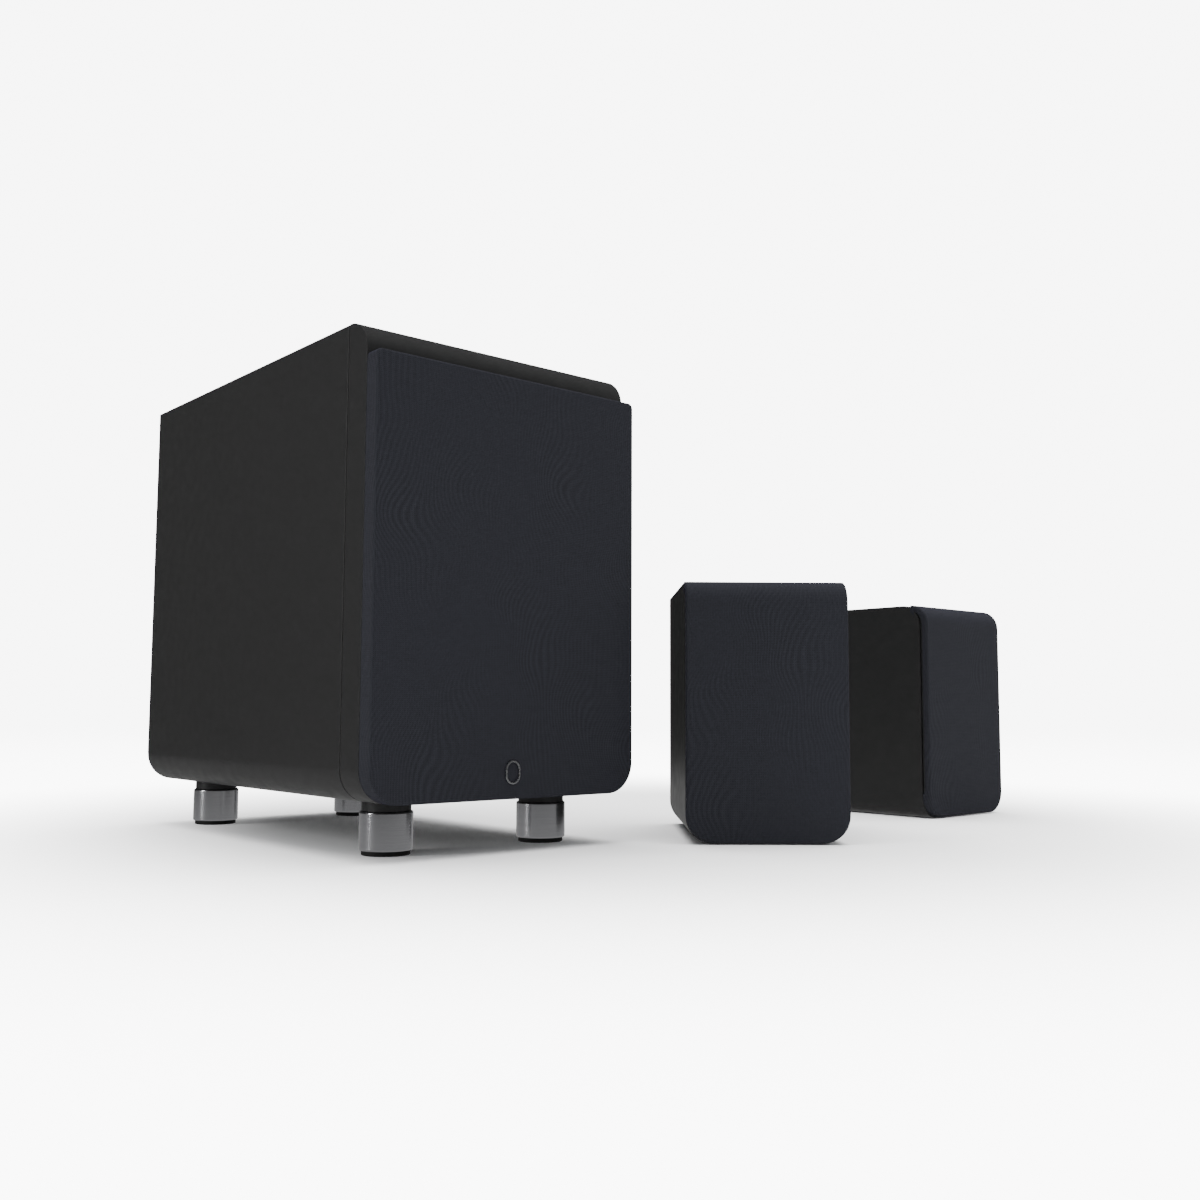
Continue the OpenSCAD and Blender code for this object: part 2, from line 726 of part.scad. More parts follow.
// the space inside the cabinet's walls
module sat_inner(y0, y1) {
    translate([0, 0, sat_wall]) front_prism(y0, y1)
        front_outline(sat_w - 2*sat_wall, sat_h - 2*sat_wall, max(2, sat_round - sat_wall));
}

module sat_panel_outline(gap) {
    inset = panel_rim + gap;
    translate([0, inset]) front_outline(sat_w - 2*inset, sat_h - 2*inset, sat_round - inset);
}

sat_screw_x = sat_w/2 - sat_wall/2 - panel_rim/2;
sat_screw_z = [24, sat_h/2, sat_h - sat_wall/2 - panel_rim/2];

module sat_panel_screw_places() {
    for (sx = [-1, 1]) for (z = sat_screw_z) translate([sx*sat_screw_x, 0, z]) children();
}

module sat_cabinet() color(wood) difference() {
    sat_form();
    sat_inner(sat_front_t, sat_d + 1);
    front_prism(sat_d - panel_t, sat_d + 1) sat_panel_outline(0);
    sat_panel_screw_places() rod([0, sat_d - panel_t - 8, 0], sat_screw_r + pilot_gap, 10);
    translate([0, 0, sat_drv_z]) {
        rod([0, -1, 0], sat_drv_r + seat_gap, sat_drv_sink + sat_drv_t + 1);
        rod([0, 0, 0], sat_cut_r, sat_front_t + 1);
        ring_places(4, sat_drv_ring, 45) rod([0, sat_drv_sink, 0], sat_screw_r + pilot_gap, 12);
    }
    translate([0, 0, twt_z]) {
        rod([0, -1, 0], twt_r + seat_gap, twt_t + 1);
        rod([0, 0, 0], 23, sat_front_t + 1);
        ring_places(3, twt_ring, 0) rod([0, 0, 0], sat_screw_r + pilot_gap, 13);
    }
    sat_peg_places() rod([0, -1, 0], sat_peg_r + slip, sat_peg_l + 2);
}

module sat_peg_places() {
    for (sx = [-1, 1]) for (z = [12, sat_h - 28]) translate([sx*(sat_w/2 - 10), 0, z]) children();
}

// The grille's block: bounded by its face and rounding in front, and by the
// cabinet's rounding and a gap behind. The inset leaves room for the cloth.
module sat_grille_side(inset, gap) {
    difference() {
        intersection() {
            translate([-sat_grille_t + inset, 0])
                side_outline(sat_grille_t + grille_reach - inset, sat_h - inset, sat_top_round - inset);
            translate([-sat_grille_t, sat_lift + inset])
                square([sat_grille_t + grille_reach - inset, sat_h]);
        }
        translate([-gap, -1]) side_outline(60, sat_h + gap + 1, sat_top_round + gap);
    }
}

module sat_grille_block(inset, gap) {
    intersection() {
        translate([0, 0, sat_lift + inset]) front_prism(-sat_grille_t - 1, grille_reach + 1)
            front_outline(sat_w - 2*inset, sat_h, sat_round - inset);
        side_prism(sat_w + 2) sat_grille_side(inset, gap);
    }
}

// the cloth: a flat face and its bend over the top
module sat_grille_cloth() color(cloth) difference() {
    sat_grille_block(0, sat_gap);
    translate([0, sat_cloth, -sat_cloth]) sat_grille_shadow();
}

// everything behind the face and under the bend, for the cloth's inner side
module sat_grille_shadow() {
    side_prism(2*sat_w) translate([-sat_grille_t, -1])
        side_outline(4*sat_grille_t, sat_h + 1, sat_top_round);
}

module sat_grille_frame() color(plastic) {
    difference() {
        intersection() {
            sat_grille_block(sat_cloth, sat_gap);
            translate([0, sat_cloth, -sat_cloth]) sat_grille_shadow();
        }
        translate([0, 0, sat_lift + sat_rail]) front_prism(-20, 20)
            front_outline(sat_w - 2*sat_rail, sat_h - sat_rail - sat_top_rail, sat_round - sat_rail);
    }
    sat_peg_places() {
        rod([0, -sat_gap - 3, 0], 3.6, 3);
        rod([0, -sat_gap - eps, 0], sat_peg_r, sat_gap + sat_peg_l);
        translate([-4, -sat_gap - 3, -4]) cube([8, 3, 8]);
    }
}

module at_sat_drv() {
    translate([0, sat_drv_sink, sat_drv_z]) along_y() children();
}

module sat_woofer_basket() color(plastic) at_sat_drv() difference() {
    union() {
        basket(sat_drv_r, sat_cut_r, sat_lip, sat_drv_t, 24, sat_neck, 2, 4, 45);
        // terminal block on the lower arm
        translate([-5, 28, sat_tab_y - sat_drv_sink - 6]) cube([10, 8, 6]);
    }
    for (i = [0 : 3]) rotate([0, 0, 45 + i*90])
        translate([sat_drv_ring, 0, -1]) cylinder(r = sat_screw_r + pass_gap, h = sat_drv_t + 2);
}

module sat_woofer_motor() color(zinc) at_sat_drv() motor(sat_coil, sat_neck + 2, 4, 24, 10, 27, 1.2);

module sat_woofer_cone() color(paper) at_sat_drv() {
    d = 12;
    lip = 1.7;
    rotate_extrude($fn = 72) polygon([
        [sat_edge, 0], [sat_edge, 0.8], [sat_coil + 0.8, d + 1.4], [sat_coil, d + 1.4],
        [sat_coil, d], [sat_edge - lip, 0]]);
    cap(13, 5, cone_front(13, sat_edge - lip, sat_coil, d) + 0.4, 0.8);
    rotate_extrude($fn = 72) {
        translate([sat_coil - 0.7, d - 1]) square([0.8, 21]);
        translate([sat_coil - 0.7, d + 11]) square([1.1, 8]);
    }
}

module sat_woofer_surround() color(rubber) at_sat_drv() surround(sat_edge, sat_roll, 0.7, 2.4);

module at_tweeter() {
    translate([0, 0, twt_z]) along_y() children();
}

module sat_tweeter() color(plastic) at_tweeter() {
    difference() {
        rotate_extrude($fn = 72)
            polygon([[17, 0], [twt_r, 0], [twt_r, twt_t], [22, twt_t], [22, 6], [11.4, 6], [11.4, 4]]);
        for (i = [0 : 2]) rotate([0, 0, -90 + i*120])
            translate([twt_ring, 0, -1]) cylinder(r = sat_screw_r + pass_gap, h = twt_t + 2);
    }
    rotate_extrude($fn = 72) translate([10.4, 6]) square([11.6, 3]);
    rotate_extrude($fn = 72) translate([12, 9]) square([10, 6]);
    translate([0, 0, 15]) cylinder(r = 22, h = 4);
    translate([0, 0, 5.5]) cylinder(r = 8.5, h = 9.5 + eps);
}

module sat_tweeter_dome() color("#3a3a40") at_tweeter() {
    cap(9.7, 3.6, 4.9, 0.5);
    rotate_extrude($fn = 72) {
        translate([9.1, 4.7]) square([1.8, 0.5]);
        translate([9.1, 4.7]) square([0.6, 6.3]);
    }
}

module sat_rear_panel() color(plastic) difference() {
    y0 = sat_d - panel_t;
    union() {
        front_prism(y0, sat_d) sat_panel_outline(0.2);
        translate([-cup_w/2 - 2, sat_d - cup_d - 2, cup_z - cup_h/2 - 2])
            cube([cup_w + 4, cup_d, cup_h + 4]);
        rod([0, sat_d - insert_l - 3, insert_z], 8, insert_l);
    }
    translate([-cup_w/2, sat_d - cup_d, cup_z - cup_h/2]) cube([cup_w, cup_d + 1, cup_h]);
    for (sx = [-1, 1]) rod([sx*stud_x, sat_d - cup_d - 4, cup_z], stud_r + 0.1, 6);
    rod([0, sat_d - insert_l, insert_z], insert_r, insert_l + 1);
    sat_panel_screw_places() rod([0, y0 - 1, 0], sat_screw_r + pass_gap, panel_t + 2);
}

board_z = sat_wall + 4;
board_y0 = 58;
board_top = board_z + 1.6;

module sat_crossover_board() color("#1f4a2c") {
    translate([-35, board_y0, board_z]) cube([70, 62, 1.6]);
    for (sx = [-1, 1]) for (p = [5, 57])
        translate([sx*30, board_y0 + p, sat_wall]) cylinder(r = 2.5, h = 4 + eps);
    translate([-15, board_y0 + 20, board_top - eps]) difference() {
        cylinder(r = 14, h = 12);
        translate([0, 0, 2]) cylinder(r = 5, h = 12);
    }
    for (k = [0, 1]) translate([8, board_y0 + 14 + k*16, board_top]) {
        translate([0, 0, 5.8]) rotate([0, 90, 0]) cylinder(r = 6, h = 24);
        translate([2, -3, -eps]) cube([20, 6, 2]);
    }
    translate([-28, board_y0 + 44, board_top - eps]) cube([30, 8, 7]);
}

// pairs of leads: terminals to board, board to woofer, board to tweeter
module sat_leads() color("#8a1c1c") for (sx = [-1, 1]) {
    stud_y = sat_d - cup_d - stud_in;
    lead([
        [sx*stud_x, stud_y, cup_z],
        [sx*stud_x, board_y0 + 57, cup_z],
        [sx*stud_x, board_y0 + 57, board_top + 12],
        [sx*stud_x, board_y0 + 57, board_top]
    ], sat_lead_r);
    lead([
        [sx*2.5, sat_tab_y, sat_drv_z - 32],
        [sx*2.5, sat_tab_y + 14, sat_drv_z - 32],
        [sx*2.5, board_y0 - 10, board_top + 8],
        [sx*2.5, board_y0 + 3, board_top + 10],
        [sx*2.5, board_y0 + 3, board_top]
    ], sat_lead_r);
    lead([
        [sx*6, twt_y, twt_z],
        [sx*6, twt_y + 16, twt_z],
        [sx*7, board_y0 - 6, twt_z - 30],
        [sx*8, board_y0 - 4, sat_drv_z + 10],
        [sx*8, board_y0 - 4, board_top + 14],
        [sx*8, board_y0 + 2, board_top + 8],
        [sx*8, board_y0 + 2, board_top]
    ], sat_lead_r);
}

module sat_terminal_studs() color("#c8a24a") for (sx = [-1, 1]) {
    floor_y = sat_d - cup_d;
    rod([sx*stud_x, floor_y - stud_in, cup_z], stud_r, stud_in + 12);
    rod([sx*stud_x, floor_y, cup_z], 4.6, 2.5);
    rod([sx*stud_x, floor_y - 5, cup_z], 4, 3);
}

module terminal_cap(x) difference() {
    y = sat_d - cup_d + 2.8;
    rod([x, y, cup_z], 6, 12.5);
    rod([x, y - 1, cup_z], stud_r + run_gap, 11.5);
    for (i = [0 : 11]) translate([x, 0, cup_z]) rotate([0, i*30, 0]) rod([6.4, y + 2, 0], 1, 12);
}

module sat_red_cap() color("#b3202a") terminal_cap(stud_x);
module sat_black_cap() color("#1a1a1c") terminal_cap(-stud_x);

module sat_screws() color(zinc) {
    translate([0, 0, sat_drv_z]) ring_places(4, sat_drv_ring, 45)
        screw([0, sat_drv_sink, 0], sat_head_r, 1.6, sat_screw_r, sat_screw_l);
    translate([0, 0, twt_z]) ring_places(3, twt_ring, 0)
        screw([0, 0, 0], sat_head_r, 1.4, sat_screw_r, sat_screw_l);
    sat_panel_screw_places() mirror([0, 1, 0])
        screw([0, -sat_d, 0], sat_head_r, 1.4, sat_screw_r, sat_screw_l);
}

sub_cabinet();
sub_baffle();
sub_grille_frame();
sub_grille_cloth();
sub_grille_badge();
sub_woofer_basket();
sub_woofer_motor();
sub_woofer_cone();
sub_woofer_surround();
sub_woofer_spider();
sub_woofer_voice_coil();
sub_woofer_leads();
sub_screws();
sub_amp_plate();
sub_amp_board();
sub_transformer();
sub_heat_sink();
sub_level_knob();
sub_crossover_knob();
sub_phase_switch();
sub_power_rocker();
sub_mains_inlet();
sub_input_jacks();
sub_status_lamp();
sub_foot_cores();
sub_foot_sleeves();
sub_foot_pads();
sub_foot_bolts();
at_left() sat_cabinet();  // left_cabinet
at_left() sat_grille_frame();  // left_grille_frame
at_left() sat_grille_cloth();  // left_grille_cloth
at_left() sat_woofer_basket();  // left_woofer_basket
at_left() sat_woofer_motor();  // left_woofer_motor
at_left() sat_woofer_cone();  // left_woofer_cone
at_left() sat_woofer_surround();  // left_woofer_surround
at_left() sat_tweeter();  // left_tweeter
at_left() sat_tweeter_dome();  // left_tweeter_dome
at_left() sat_rear_panel();  // left_rear_panel
at_left() sat_crossover_board();  // left_crossover_board
at_left() sat_leads();  // left_leads
at_left() sat_terminal_studs();  // left_terminal_studs
at_left() sat_red_cap();  // left_red_cap
at_left() sat_black_cap();  // left_black_cap
at_left() sat_screws();  // left_screws
at_right() sat_cabinet();  // right_cabinet
at_right() sat_grille_frame();  // right_grille_frame
at_right() sat_grille_cloth();  // right_grille_cloth
at_right() sat_woofer_basket();  // right_woofer_basket
at_right() sat_woofer_motor();  // right_woofer_motor
at_right() sat_woofer_cone();  // right_woofer_cone
at_right() sat_woofer_surround();  // right_woofer_surround
at_right() sat_tweeter();  // right_tweeter
at_right() sat_tweeter_dome();  // right_tweeter_dome
at_right() sat_rear_panel();  // right_rear_panel
at_right() sat_crossover_board();  // right_crossover_board
at_right() sat_leads();  // right_leads
at_right() sat_terminal_studs();  // right_terminal_studs
at_right() sat_red_cap();  // right_red_cap
at_right() sat_black_cap();  // right_black_cap
at_right() sat_screws();  // right_screws
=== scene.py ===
import bmesh
import bpy
import json
import math
from mathutils import Matrix, Vector


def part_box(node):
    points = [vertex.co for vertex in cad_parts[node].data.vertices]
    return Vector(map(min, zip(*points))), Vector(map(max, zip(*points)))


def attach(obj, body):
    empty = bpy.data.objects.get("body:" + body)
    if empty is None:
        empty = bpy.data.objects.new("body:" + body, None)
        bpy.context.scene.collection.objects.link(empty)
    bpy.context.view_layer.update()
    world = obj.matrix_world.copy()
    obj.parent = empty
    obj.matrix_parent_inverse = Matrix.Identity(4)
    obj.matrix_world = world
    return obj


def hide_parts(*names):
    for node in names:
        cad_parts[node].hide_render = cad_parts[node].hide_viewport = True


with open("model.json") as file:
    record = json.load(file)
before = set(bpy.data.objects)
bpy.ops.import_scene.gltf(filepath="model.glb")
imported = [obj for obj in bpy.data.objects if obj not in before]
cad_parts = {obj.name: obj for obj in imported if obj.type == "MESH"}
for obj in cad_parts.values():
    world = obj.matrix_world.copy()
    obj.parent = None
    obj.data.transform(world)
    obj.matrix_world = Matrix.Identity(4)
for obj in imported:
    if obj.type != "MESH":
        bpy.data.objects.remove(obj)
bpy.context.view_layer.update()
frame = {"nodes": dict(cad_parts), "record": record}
mm = 0.001
weldGap = 0.001 * mm    # vertices nearer than this are one
roundAngle = 40         # degrees: an edge flatter than this shades smoothly
beyondAll = 1000        # mm: farther out than any part of a speaker


def placed(x, y, z):
    return Matrix.Translation(Vector((x, y, z)) * mm)


def sRGB(code):
    # a hex colour as the linear values that a shader takes
    channels = [int(code[i:i + 2], 16) / 255 for i in (1, 3, 5)]
    linear = [c / 12.92 if c <= 0.04045 else ((c + 0.055) / 1.055) ** 2.4 for c in channels]
    return (*linear, 1)


# where the speakers stand: each speaker's own frame has its origin on the floor below the
# middle of the cabinet's front, with x to the right, y to the back and z up

def corners(node):
    low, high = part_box(node)
    return Vector(low), Vector(high)


mounts = {mount["name"]: mount for mount in frame["record"]["mounts"]}
subLow, subHigh = corners("sub_baffle")
satLow, satHigh = corners("right_cabinet")
satSize = satHigh - satLow


def satelliteFrame(side):
    thread = mounts[side + "_bracket_thread"]
    back = Vector(thread["axis"])
    place = Vector(thread["pos_m"]) - back * satSize.y
    turn = math.atan2(-back.x, back.y)
    return Matrix.Translation((place.x, place.y, 0)) @ Matrix.Rotation(turn, 4, "Z")


subFrame = Matrix.Translation(((subLow.x + subHigh.x) / 2, subLow.y, 0))
satFrames = {side: satelliteFrame(side) for side in ("left", "right")}


# the few steps that every piece uses

def selectOnly(*objects):
    bpy.ops.object.select_all(action="DESELECT")
    for each in objects:
        each.select_set(True)
    bpy.context.view_layer.objects.active = objects[0]


def startEditing(piece):
    selectOnly(piece)
    bpy.ops.object.mode_set(mode="EDIT")
    bpy.ops.mesh.select_all(action="SELECT")


def stopEditing():
    bpy.ops.object.mode_set(mode="OBJECT")


def pick(piece, kind, test):
    # in edit mode: the faces or edges that pass the test are selected, and nothing else
    bpy.ops.mesh.select_mode(type=kind)
    bpy.ops.mesh.select_all(action="DESELECT")
    mesh = bmesh.from_edit_mesh(piece.data)
    for part in mesh.faces if kind == "FACE" else mesh.edges:
        if test(part):
            part.select_set(True)
    bmesh.update_edit_mesh(piece.data)


def middleOf(part):
    return sum((v.co for v in part.verts), Vector()) / len(part.verts)


def block(name, low, high):
    # a cube between two corners in millimetres, to be shaped further
    low, high = Vector(low) * mm, Vector(high) * mm
    bpy.ops.object.select_all(action="DESELECT")
    bpy.ops.mesh.primitive_cube_add(size=1, location=(low + high) / 2)
    piece = bpy.context.object
    piece.name = name
    piece.scale = high - low
    bpy.ops.object.transform_apply(location=True, rotation=False, scale=True)
    return piece


def turned(name, profile, place, sides=48, ring=False):
    # a piece turned about Z: each step of the profile is (radius, height) in millimetres. A ring
    # is closed from its last step to its first, and any other piece by a flat face at each end
    bpy.ops.object.select_all(action="DESELECT")
    radius, height = profile[0]
    bpy.ops.mesh.primitive_circle_add(vertices=sides, radius=radius * mm,
                                      location=(0, 0, height * mm))
    piece = bpy.context.object
    piece.name = name
    bpy.ops.object.transform_apply(location=True, rotation=False, scale=False)
    startEditing(piece)
    for nextRadius, nextHeight in profile[1:]:
        rise = (0, 0, (nextHeight - height) * mm)
        bpy.ops.mesh.extrude_region_move(TRANSFORM_OT_translate={"value": rise})
        share = nextRadius / radius
        bpy.ops.transform.resize(value=(share, share, 1), center_override=(0, 0, 0))
        radius, height = nextRadius, nextHeight
    pick(piece, "EDGE", lambda e: e.is_boundary)
    if ring:
        bpy.ops.mesh.bridge_edge_loops()
    else:
        bpy.ops.mesh.edge_face_add()
    bpy.ops.mesh.select_all(action="SELECT")
    bpy.ops.mesh.normals_make_consistent(inside=False)
    stopEditing()
    smoothed(piece, roundAngle)
    return moved(piece, place)


def modify(piece, kind, **settings):
    selectOnly(piece)
    modifier = piece.modifiers.new(kind, kind)
    for name, value in settings.items():
        setattr(modifier, name, value)
    bpy.ops.object.modifier_apply(modifier=modifier.name)


def smoothed(piece, sharp):
    # round faces shade smoothly, and large flat ones stay flat beside their eased edges
    selectOnly(piece)
    bpy.ops.object.shade_smooth_by_angle(angle=math.radians(sharp))
    modify(piece, "WEIGHTED_NORMAL", keep_sharp=True)


def easeEdges(piece, width, segments=2, sharp=35):
    # small rounded edges, as every moulded, sawn or lacquered part has
    modify(piece, "BEVEL", width=width * mm, segments=segments, limit_method="ANGLE",
           angle_limit=math.radians(sharp), use_clamp_overlap=False, miter_outer="MITER_ARC")
    smoothed(piece, sharp)
    return piece


def softened(node, name, width, segments=2):
    # a copy of a CAD node's mesh with eased edges
    piece = bpy.data.objects.new(name, frame["nodes"][node].data.copy())
    bpy.context.collection.objects.link(piece)
    selectOnly(piece)
    bpy.ops.mesh.customdata_custom_splitnormals_clear()
    startEditing(piece)
    bpy.ops.mesh.remove_doubles(threshold=weldGap)
    bpy.ops.mesh.dissolve_limited(angle_limit=math.radians(0.6))
    stopEditing()
    easeEdges(piece, width, segments)
    return piece


def moved(piece, place):
    # the piece's place goes into its mesh, and its object stays at the origin
    piece.matrix_world = place
    selectOnly(piece)
    bpy.ops.object.transform_apply(location=True, rotation=True, scale=True)
    return piece


def copied(piece, name, place):
    twin = bpy.data.objects.new(name, piece.data.copy())
    bpy.context.collection.objects.link(twin)
    return moved(twin, place)


def joined(name, pieces):
    selectOnly(*pieces)
    bpy.ops.object.join()
    whole = bpy.context.object
    whole.name = name
    return whole


def fit(piece, finish, body, slot, *nodes):
    # its finish, the body it moves with and the CAD nodes it stands for
    piece.data.materials.clear()
    piece.data.materials.append(finish)
    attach(piece, body)
    if nodes:
        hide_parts(*nodes)
    return piece


def along(x, y, z):
    # turns a piece made along Z so that it runs to the back, with its start at a point in mm
    return placed(x, y, z) @ Matrix.Rotation(math.radians(-90), 4, "X")


# the studio: a camera, a paper sweep and soft lights

cameraSet = {
    "fromCorner": (-0.3788, -0.6649, 0.0982),  # from the subwoofer's front left corner
    "heading": 40.9,
    "pitch": 5.04,
    "roll": 0.23,
    "lens": 36.12,
}


def makeCamera():
    corner = Vector((subLow.x, subLow.y, 0))
    bpy.ops.object.camera_add()
    camera = bpy.context.object
    camera.name = "camera"
    turn = Matrix.Rotation(math.radians(-cameraSet["heading"]), 4, "Z")
    tip = Matrix.Rotation(math.radians(90 + cameraSet["pitch"]), 4, "X")
    roll = Matrix.Rotation(math.radians(cameraSet["roll"]), 4, "Z")
    place = Matrix.Translation(corner + Vector(cameraSet["fromCorner"]))
    camera.matrix_world = place @ turn @ tip @ roll
    camera.data.lens = cameraSet["lens"]
    camera.data.sensor_width = 36
    camera.data.clip_start = 0.01
    bpy.context.scene.camera = camera


def newMaterial(name):
    material = bpy.data.materials.new(name)
    material.use_nodes = True
    return material


def shaderOf(material):
    return material.node_tree.nodes["Principled BSDF"]


def addNode(material, kind, settings=None, links=None):
    # settings go on the node or on its inputs by name or number, links are input -> socket
    node = material.node_tree.nodes.new(kind)
    for name, value in (settings or {}).items():
        if isinstance(name, str) and hasattr(node, name):
            setattr(node, name, value)
        else:
            node.inputs[name].default_value = value
    for name, socket in (links or {}).items():
        material.node_tree.links.new(socket, node.inputs[name])
    return node


def setShader(material, **settings):
    for name, value in settings.items():
        shaderOf(material).inputs[name.replace("_", " ")].default_value = value


def link(material, name, socket):
    material.node_tree.links.new(socket, shaderOf(material).inputs[name])


sweepSet = {"floor": 5.0, "cove": 1.6, "height": 7.0, "steps": 12, "sides": 96}  # sizes in metres
paperSet = {"glowFrom": 0.28, "glowTo": 0.8, "glow": 7}  # metres from the object, and brightness
flagSet = {
    "radius": 3.3,        # metres, as are the height and how far the cloth lies under the floor
    "height": 4.2,
    "under": 0.002,
    "floor": 0.42,        # painted reflection of the floor: brightness near the object, which falls to dark between two distances
    "dark": 0.05,
    "floorFrom": 0.3,
    "floorReach": 1.4,
}
lampSet = {
    # name: (place, aimed at, width and height in metres, watts)
    "overhead": ((0.1, 0.1, 2.4), (0, 0, 0.1), (2.6, 2.6), 180),
    "leftStrip": ((-2.2, 0.45, 0.7), (-0.3, 0, 0.1), (0.22, 1.4), 20),
    "rightStrip": ((1.65, -0.62, 0.7), (-0.3, 0, 0.1), (0.22, 1.4), 8),
}
worldSet = {"colour": "#f2f3f5", "strength": 0.88}


def glowAround(material, near, far, start, end):
    # emission that changes from one strength to another with the distance from the object
    place = addNode(material, "ShaderNodeTexCoord").outputs["Object"]
    reach = addNode(material, "ShaderNodeVectorMath", {"operation": "LENGTH"}, {0: place})
    glow = addNode(material, "ShaderNodeMapRange",
                   {"interpolation_type": "SMOOTHSTEP", "From Min": start, "From Max": end,
                    "To Min": near, "To Max": far}, {"Value": reach.outputs["Value"]})
    setShader(material, Emission_Color=sRGB("#ffffff"))
    link(material, "Emission Strength", glow.outputs["Result"])


def seenBy(piece, *rays):
    for ray in ("camera", "diffuse", "glossy", "transmission", "shadow"):
        setattr(piece, "visible_" + ray, ray in rays)


def paperLook(name):
    paper = newMaterial(name)
    setShader(paper, Base_Color=sRGB("#f4f4f4"), Roughness=0.8, Specular_IOR_Level=0.0)
    return paper


def makeSweep():
    # a floor of studio paper that rises into a wall all round, so that every view is clean
    steps = [(sweepSet["floor"] / mm, 0)]
    for i in range(1, sweepSet["steps"] + 1):
        turn = math.radians(90 * i / sweepSet["steps"])
        out = sweepSet["floor"] + sweepSet["cove"] * math.sin(turn)
        up = sweepSet["cove"] * (1 - math.cos(turn))
        steps.append((out / mm, up / mm))
    steps.append((steps[-1][0], sweepSet["height"] / mm))
    sweep = turned("paperSweep", steps, Matrix(), sides=sweepSet["sides"])
    startEditing(sweep)
    pick(sweep, "FACE", lambda f: len(f.verts) > 4 and middleOf(f).z > mm)
    bpy.ops.mesh.delete(type="FACE")
    bpy.ops.mesh.select_all(action="SELECT")
    bpy.ops.mesh.flip_normals()
    stopEditing()
    # seamless studio paper: matt white, and burnt out evenly by its own lamps away from the object
    paper = paperLook("seamlessPaper")
    glowAround(paper, 0, paperSet["glow"], paperSet["glowFrom"], paperSet["glowTo"])
    sweep.data.materials.append(paper)
    seenBy(sweep, "camera")
    # what lights the object from below: the same paper without its glow
    bpy.ops.object.select_all(action="DESELECT")
    bpy.ops.mesh.primitive_circle_add(vertices=sweepSet["sides"], radius=sweepSet["floor"],
                                      fill_type="NGON", location=(0, 0, -mm))
    bounce = bpy.context.object
    bounce.name = "paperBounce"
    bpy.ops.object.transform_apply(location=True, rotation=False, scale=False)
    bounce.data.materials.append(paperLook("plainPaper"))
    seenBy(bounce, "diffuse", "shadow")


def makeFlags():
    # dark flags all round the set and under it, seen only in reflections: a painted reflection of
    # a dark studio, with a painted glow of the lit floor under the object
    bpy.ops.object.select_all(action="DESELECT")
    radius, height = flagSet["radius"], flagSet["height"]
    bpy.ops.mesh.primitive_cylinder_add(vertices=48, radius=radius, depth=height,
                                        location=(0, 0, height / 2 - flagSet["under"]))
    flags = bpy.context.object
    flags.name = "paintedReflectionFlags"
    bpy.ops.object.transform_apply(location=True, rotation=False, scale=False)
    cloth = newMaterial("paintedReflectionFlagCloth")
    setShader(cloth, Base_Color=sRGB("#000000"), Specular_IOR_Level=0.0)
    # painted reflection of the lit floor: the flags glow near the object and fade to dark farther
    # out
    glowAround(cloth, flagSet["floor"], flagSet["dark"], flagSet["floorFrom"],
               flagSet["floorReach"])
    flags.data.materials.append(cloth)
    seenBy(flags, "glossy")


def makeLights():
    for name, (place, target, size, power) in lampSet.items():
        bpy.ops.object.light_add(type="AREA", location=place)
        lamp = bpy.context.object
        lamp.name = name
        lamp.data.shape = "RECTANGLE"
        lamp.data.size, lamp.data.size_y = size
        lamp.data.energy = power
        lamp.visible_glossy = name != "overhead"
        direction = Vector(target) - Vector(place)
        lamp.rotation_euler = direction.to_track_quat("-Z", "Y").to_euler()
    world = bpy.data.worlds.new("studio")
    world.use_nodes = True
    sky = world.node_tree.nodes["Background"]
    sky.inputs["Color"].default_value = sRGB(worldSet["colour"])
    sky.inputs["Strength"].default_value = worldSet["strength"]
    bpy.context.scene.world = world


makeCamera()
makeSweep()
makeFlags()
makeLights()
print("studio: camera, sweep and lights")

# finishes: each starts from the real material, and its patterns from real sizes in millimetres

def ownPlace(material, place=None):
    # the object's coordinates, or those of one speaker's frame
    here = addNode(material, "ShaderNodeTexCoord").outputs["Object"]
    if place is None:
        return here
    settings = {"vector_type": "TEXTURE", "Location": place.to_translation(),
                "Rotation": place.to_euler()}
    return addNode(material, "ShaderNodeMapping", settings, {"Vector": here}).outputs["Vector"]


def mixed(material, share, first, second):
    # first where the share is 0, second where it is 1: each a hex colour or another mix
    node = addNode(material, "ShaderNodeMix", {"data_type": "RGBA"}, {0: share})
    for number, colour in ((6, first), (7, second)):
        if isinstance(colour, str):
            node.inputs[number].default_value = sRGB(colour)
        else:
            material.node_tree.links.new(colour, node.inputs[number])
    return node.outputs[2]


def between(material, place, axis, low, high):
    # 1 where the place lies between two distances in millimetres along an axis
    value = addNode(material, "ShaderNodeSeparateXYZ", {}, {0: place}).outputs[axis]
    over = addNode(material, "ShaderNodeMath", {"operation": "GREATER_THAN", 1: low * mm},
                   {0: value})
    under = addNode(material, "ShaderNodeMath", {"operation": "LESS_THAN", 1: high * mm},
                    {0: value})
    both = addNode(material, "ShaderNodeMath", {"operation": "MULTIPLY"},
                   {0: over.outputs[0], 1: under.outputs[0]})
    return both.outputs[0]


